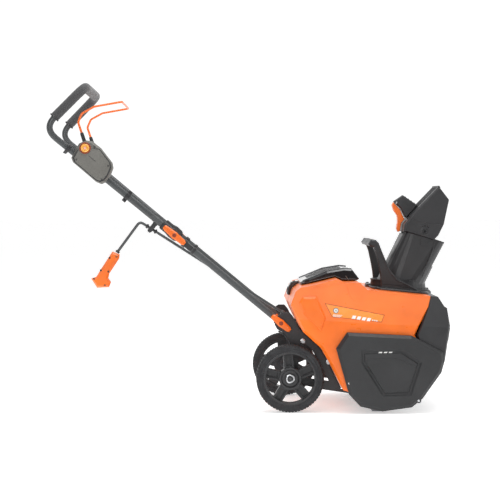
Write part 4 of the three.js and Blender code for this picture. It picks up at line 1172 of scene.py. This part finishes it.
def add_wing_details():
    for name, side in SIDES:
        for level, pivot, face in (("upper", FOLD_MID, 188.5), ("lower", FOLD_LOW, 190)):
            cap = Piece(f"{level}_wing_cap_{name}", "dark_orange", f"{level}_wing_{name}")
            cap.turned([(6.4, -2), (6.4, 0.6), (5.8, 1.2), (4.4, 1.2), (4.0, 0.2), (2.8, 0.2), (2.4, 1.0),
                        (0.02, 1.0)], (pivot[0], side * face, pivot[1]), Vector((0, side, 0)), 32)
            cap.finish()
            grip = Piece(f"{level}_wing_ribs_{name}", "orange_plastic", f"{level}_wing_{name}")
            for reach in (-1, 1):
                for k in range(3):
                    mid = along(pivot, reach * (19 + 4.4 * k), side * (face - 0.4))
                    half = Vector((-HANDLE_DZ, 0, HANDLE_DX)) * (4.6 - k * 0.5)
                    grip.tube([Vector(mid) + half, Vector(mid) - half], 0.9, 8)
            grip.finish()


def add_fold_joint_details():
    for name, side in SIDES:
        joint = Piece(f"fold_joint_plate_{name}", "black_plastic", "lower_handle")
        face = side * (TUBE_Y + 9.6)
        ring = [along(FOLD_MID, d, 0, off)
                for d, off in ((-68, -8), (-46, -8), (-42, 0), (-46, 8), (-68, 8))]
        joint.prism([(x, z) for x, _, z in ring], face - side * 3, face + side * 1.4)
        joint.finish(width=0.6)
        collar = Piece(f"fold_joint_collar_{name}", "black_plastic", "lower_handle")
        direction = Vector((HANDLE_DX, 0, HANDLE_DZ))
        clip_ring(collar, along(FOLD_MID, -40, side * TUBE_Y), direction, 9.6, 12.6, 7)
        clip_ring(collar, along(FOLD_MID, -76, side * TUBE_Y), direction, 9.6, 11.6, 4)
        collar.finish(width=0.5)


# ---------------------------------------------------------------- chute crank
ROD_Y = -125.0
ROD_BEND = (-457.0, 576.0)
ROD_END = (10.0, 277.0)
CRANK_SCREWS = ((-528, 469), (-549, 465), (-553, 423), (-576, 427), (-597, 401), (-564, 381))


def add_crank():
    length = math.hypot(ROD_BEND[0] - ROD_END[0], ROD_BEND[1] - ROD_END[1])
    dx, dz = (ROD_BEND[0] - ROD_END[0]) / length, (ROD_BEND[1] - ROD_END[1]) / length

    def up_rod(d):
        return (ROD_END[0] + dx * d, ROD_Y, ROD_END[1] + dz * d)

    rod = Piece("smooth_crank_rod", "tube_paint", "crank")
    corners = [up_rod(-14), (ROD_BEND[0], ROD_Y, ROD_BEND[1]), (-527, ROD_Y, 481)]
    rod.tube(rounded(corners, 14, 12), 4.2, 24)
    axis = Vector((dx, 0, dz))
    rod.turned([(4, 0), (8, 0), (9, 1.5), (9, 20), (8, 22), (4, 24)], up_rod(3), axis, 32, True)
    rod.turned([(4, 0), (6.4, 0), (6.8, 1), (6.8, 9), (6.2, 10), (4, 10)], up_rod(30), axis, 28, True)
    rod.finish(replaces=("crank_rod",))
    collars = Piece("crank_collars", "black_plastic", "crank")
    for d in (length - 57, length - 27):
        clip_ring(collars, up_rod(d), axis, 4.2, 7.2, 3)
    grip_end = Vector((-529.5, ROD_Y, 477.6))
    arm = Vector((0.59, 0, 0.807))
    clip_ring(collars, grip_end + arm * 7, -arm, 4.2, 6.6, 3)
    collars.finish()
    screws = Piece("crank_grip_screws", "black_plastic", "crank")
    for x, z in CRANK_SCREWS:
        screws.screw((x, ROD_Y - 16.2, z), (0, -1, 0), 3.0, 1.6)
        screws.screw((x, ROD_Y + 16.2, z), (0, 1, 0), 3.0, 1.6)
    screws.finish()
    seam = Piece("crank_grip_seam", "dark_orange", "crank")
    outline = [(-541, 484), (-519, 475), (-521, 462), (-551, 416), (-554, 402), (-546, 390), (-552, 375),
               (-588, 373), (-606, 401), (-590, 407), (-580, 424)]
    seam.prism(shrink(outline, 0.997), ROD_Y - 0.7, ROD_Y + 0.7)
    seam.finish()


def build():
    dress_frame()
    for name, side in SIDES:
        add_tyre(name, side)
        add_wheel_details(name, side)
        add_flank_details(name, side)
        add_cover_details(name, side)
        add_frame_details(name, side)
    add_rear_details()
    add_scoop_details()
    add_deck_plate()
    add_lid_details()
    add_battery_details()
    add_auger_details()
    add_chute_details()
    add_deflector_details()
    add_lift_handle_details()
    add_tubes()
    add_grip_sleeve()
    add_switch_box_details()
    add_button()
    add_bail()
    add_wing_details()
    add_fold_joint_details()
    add_crank()


add_camera()
add_studio()
build()
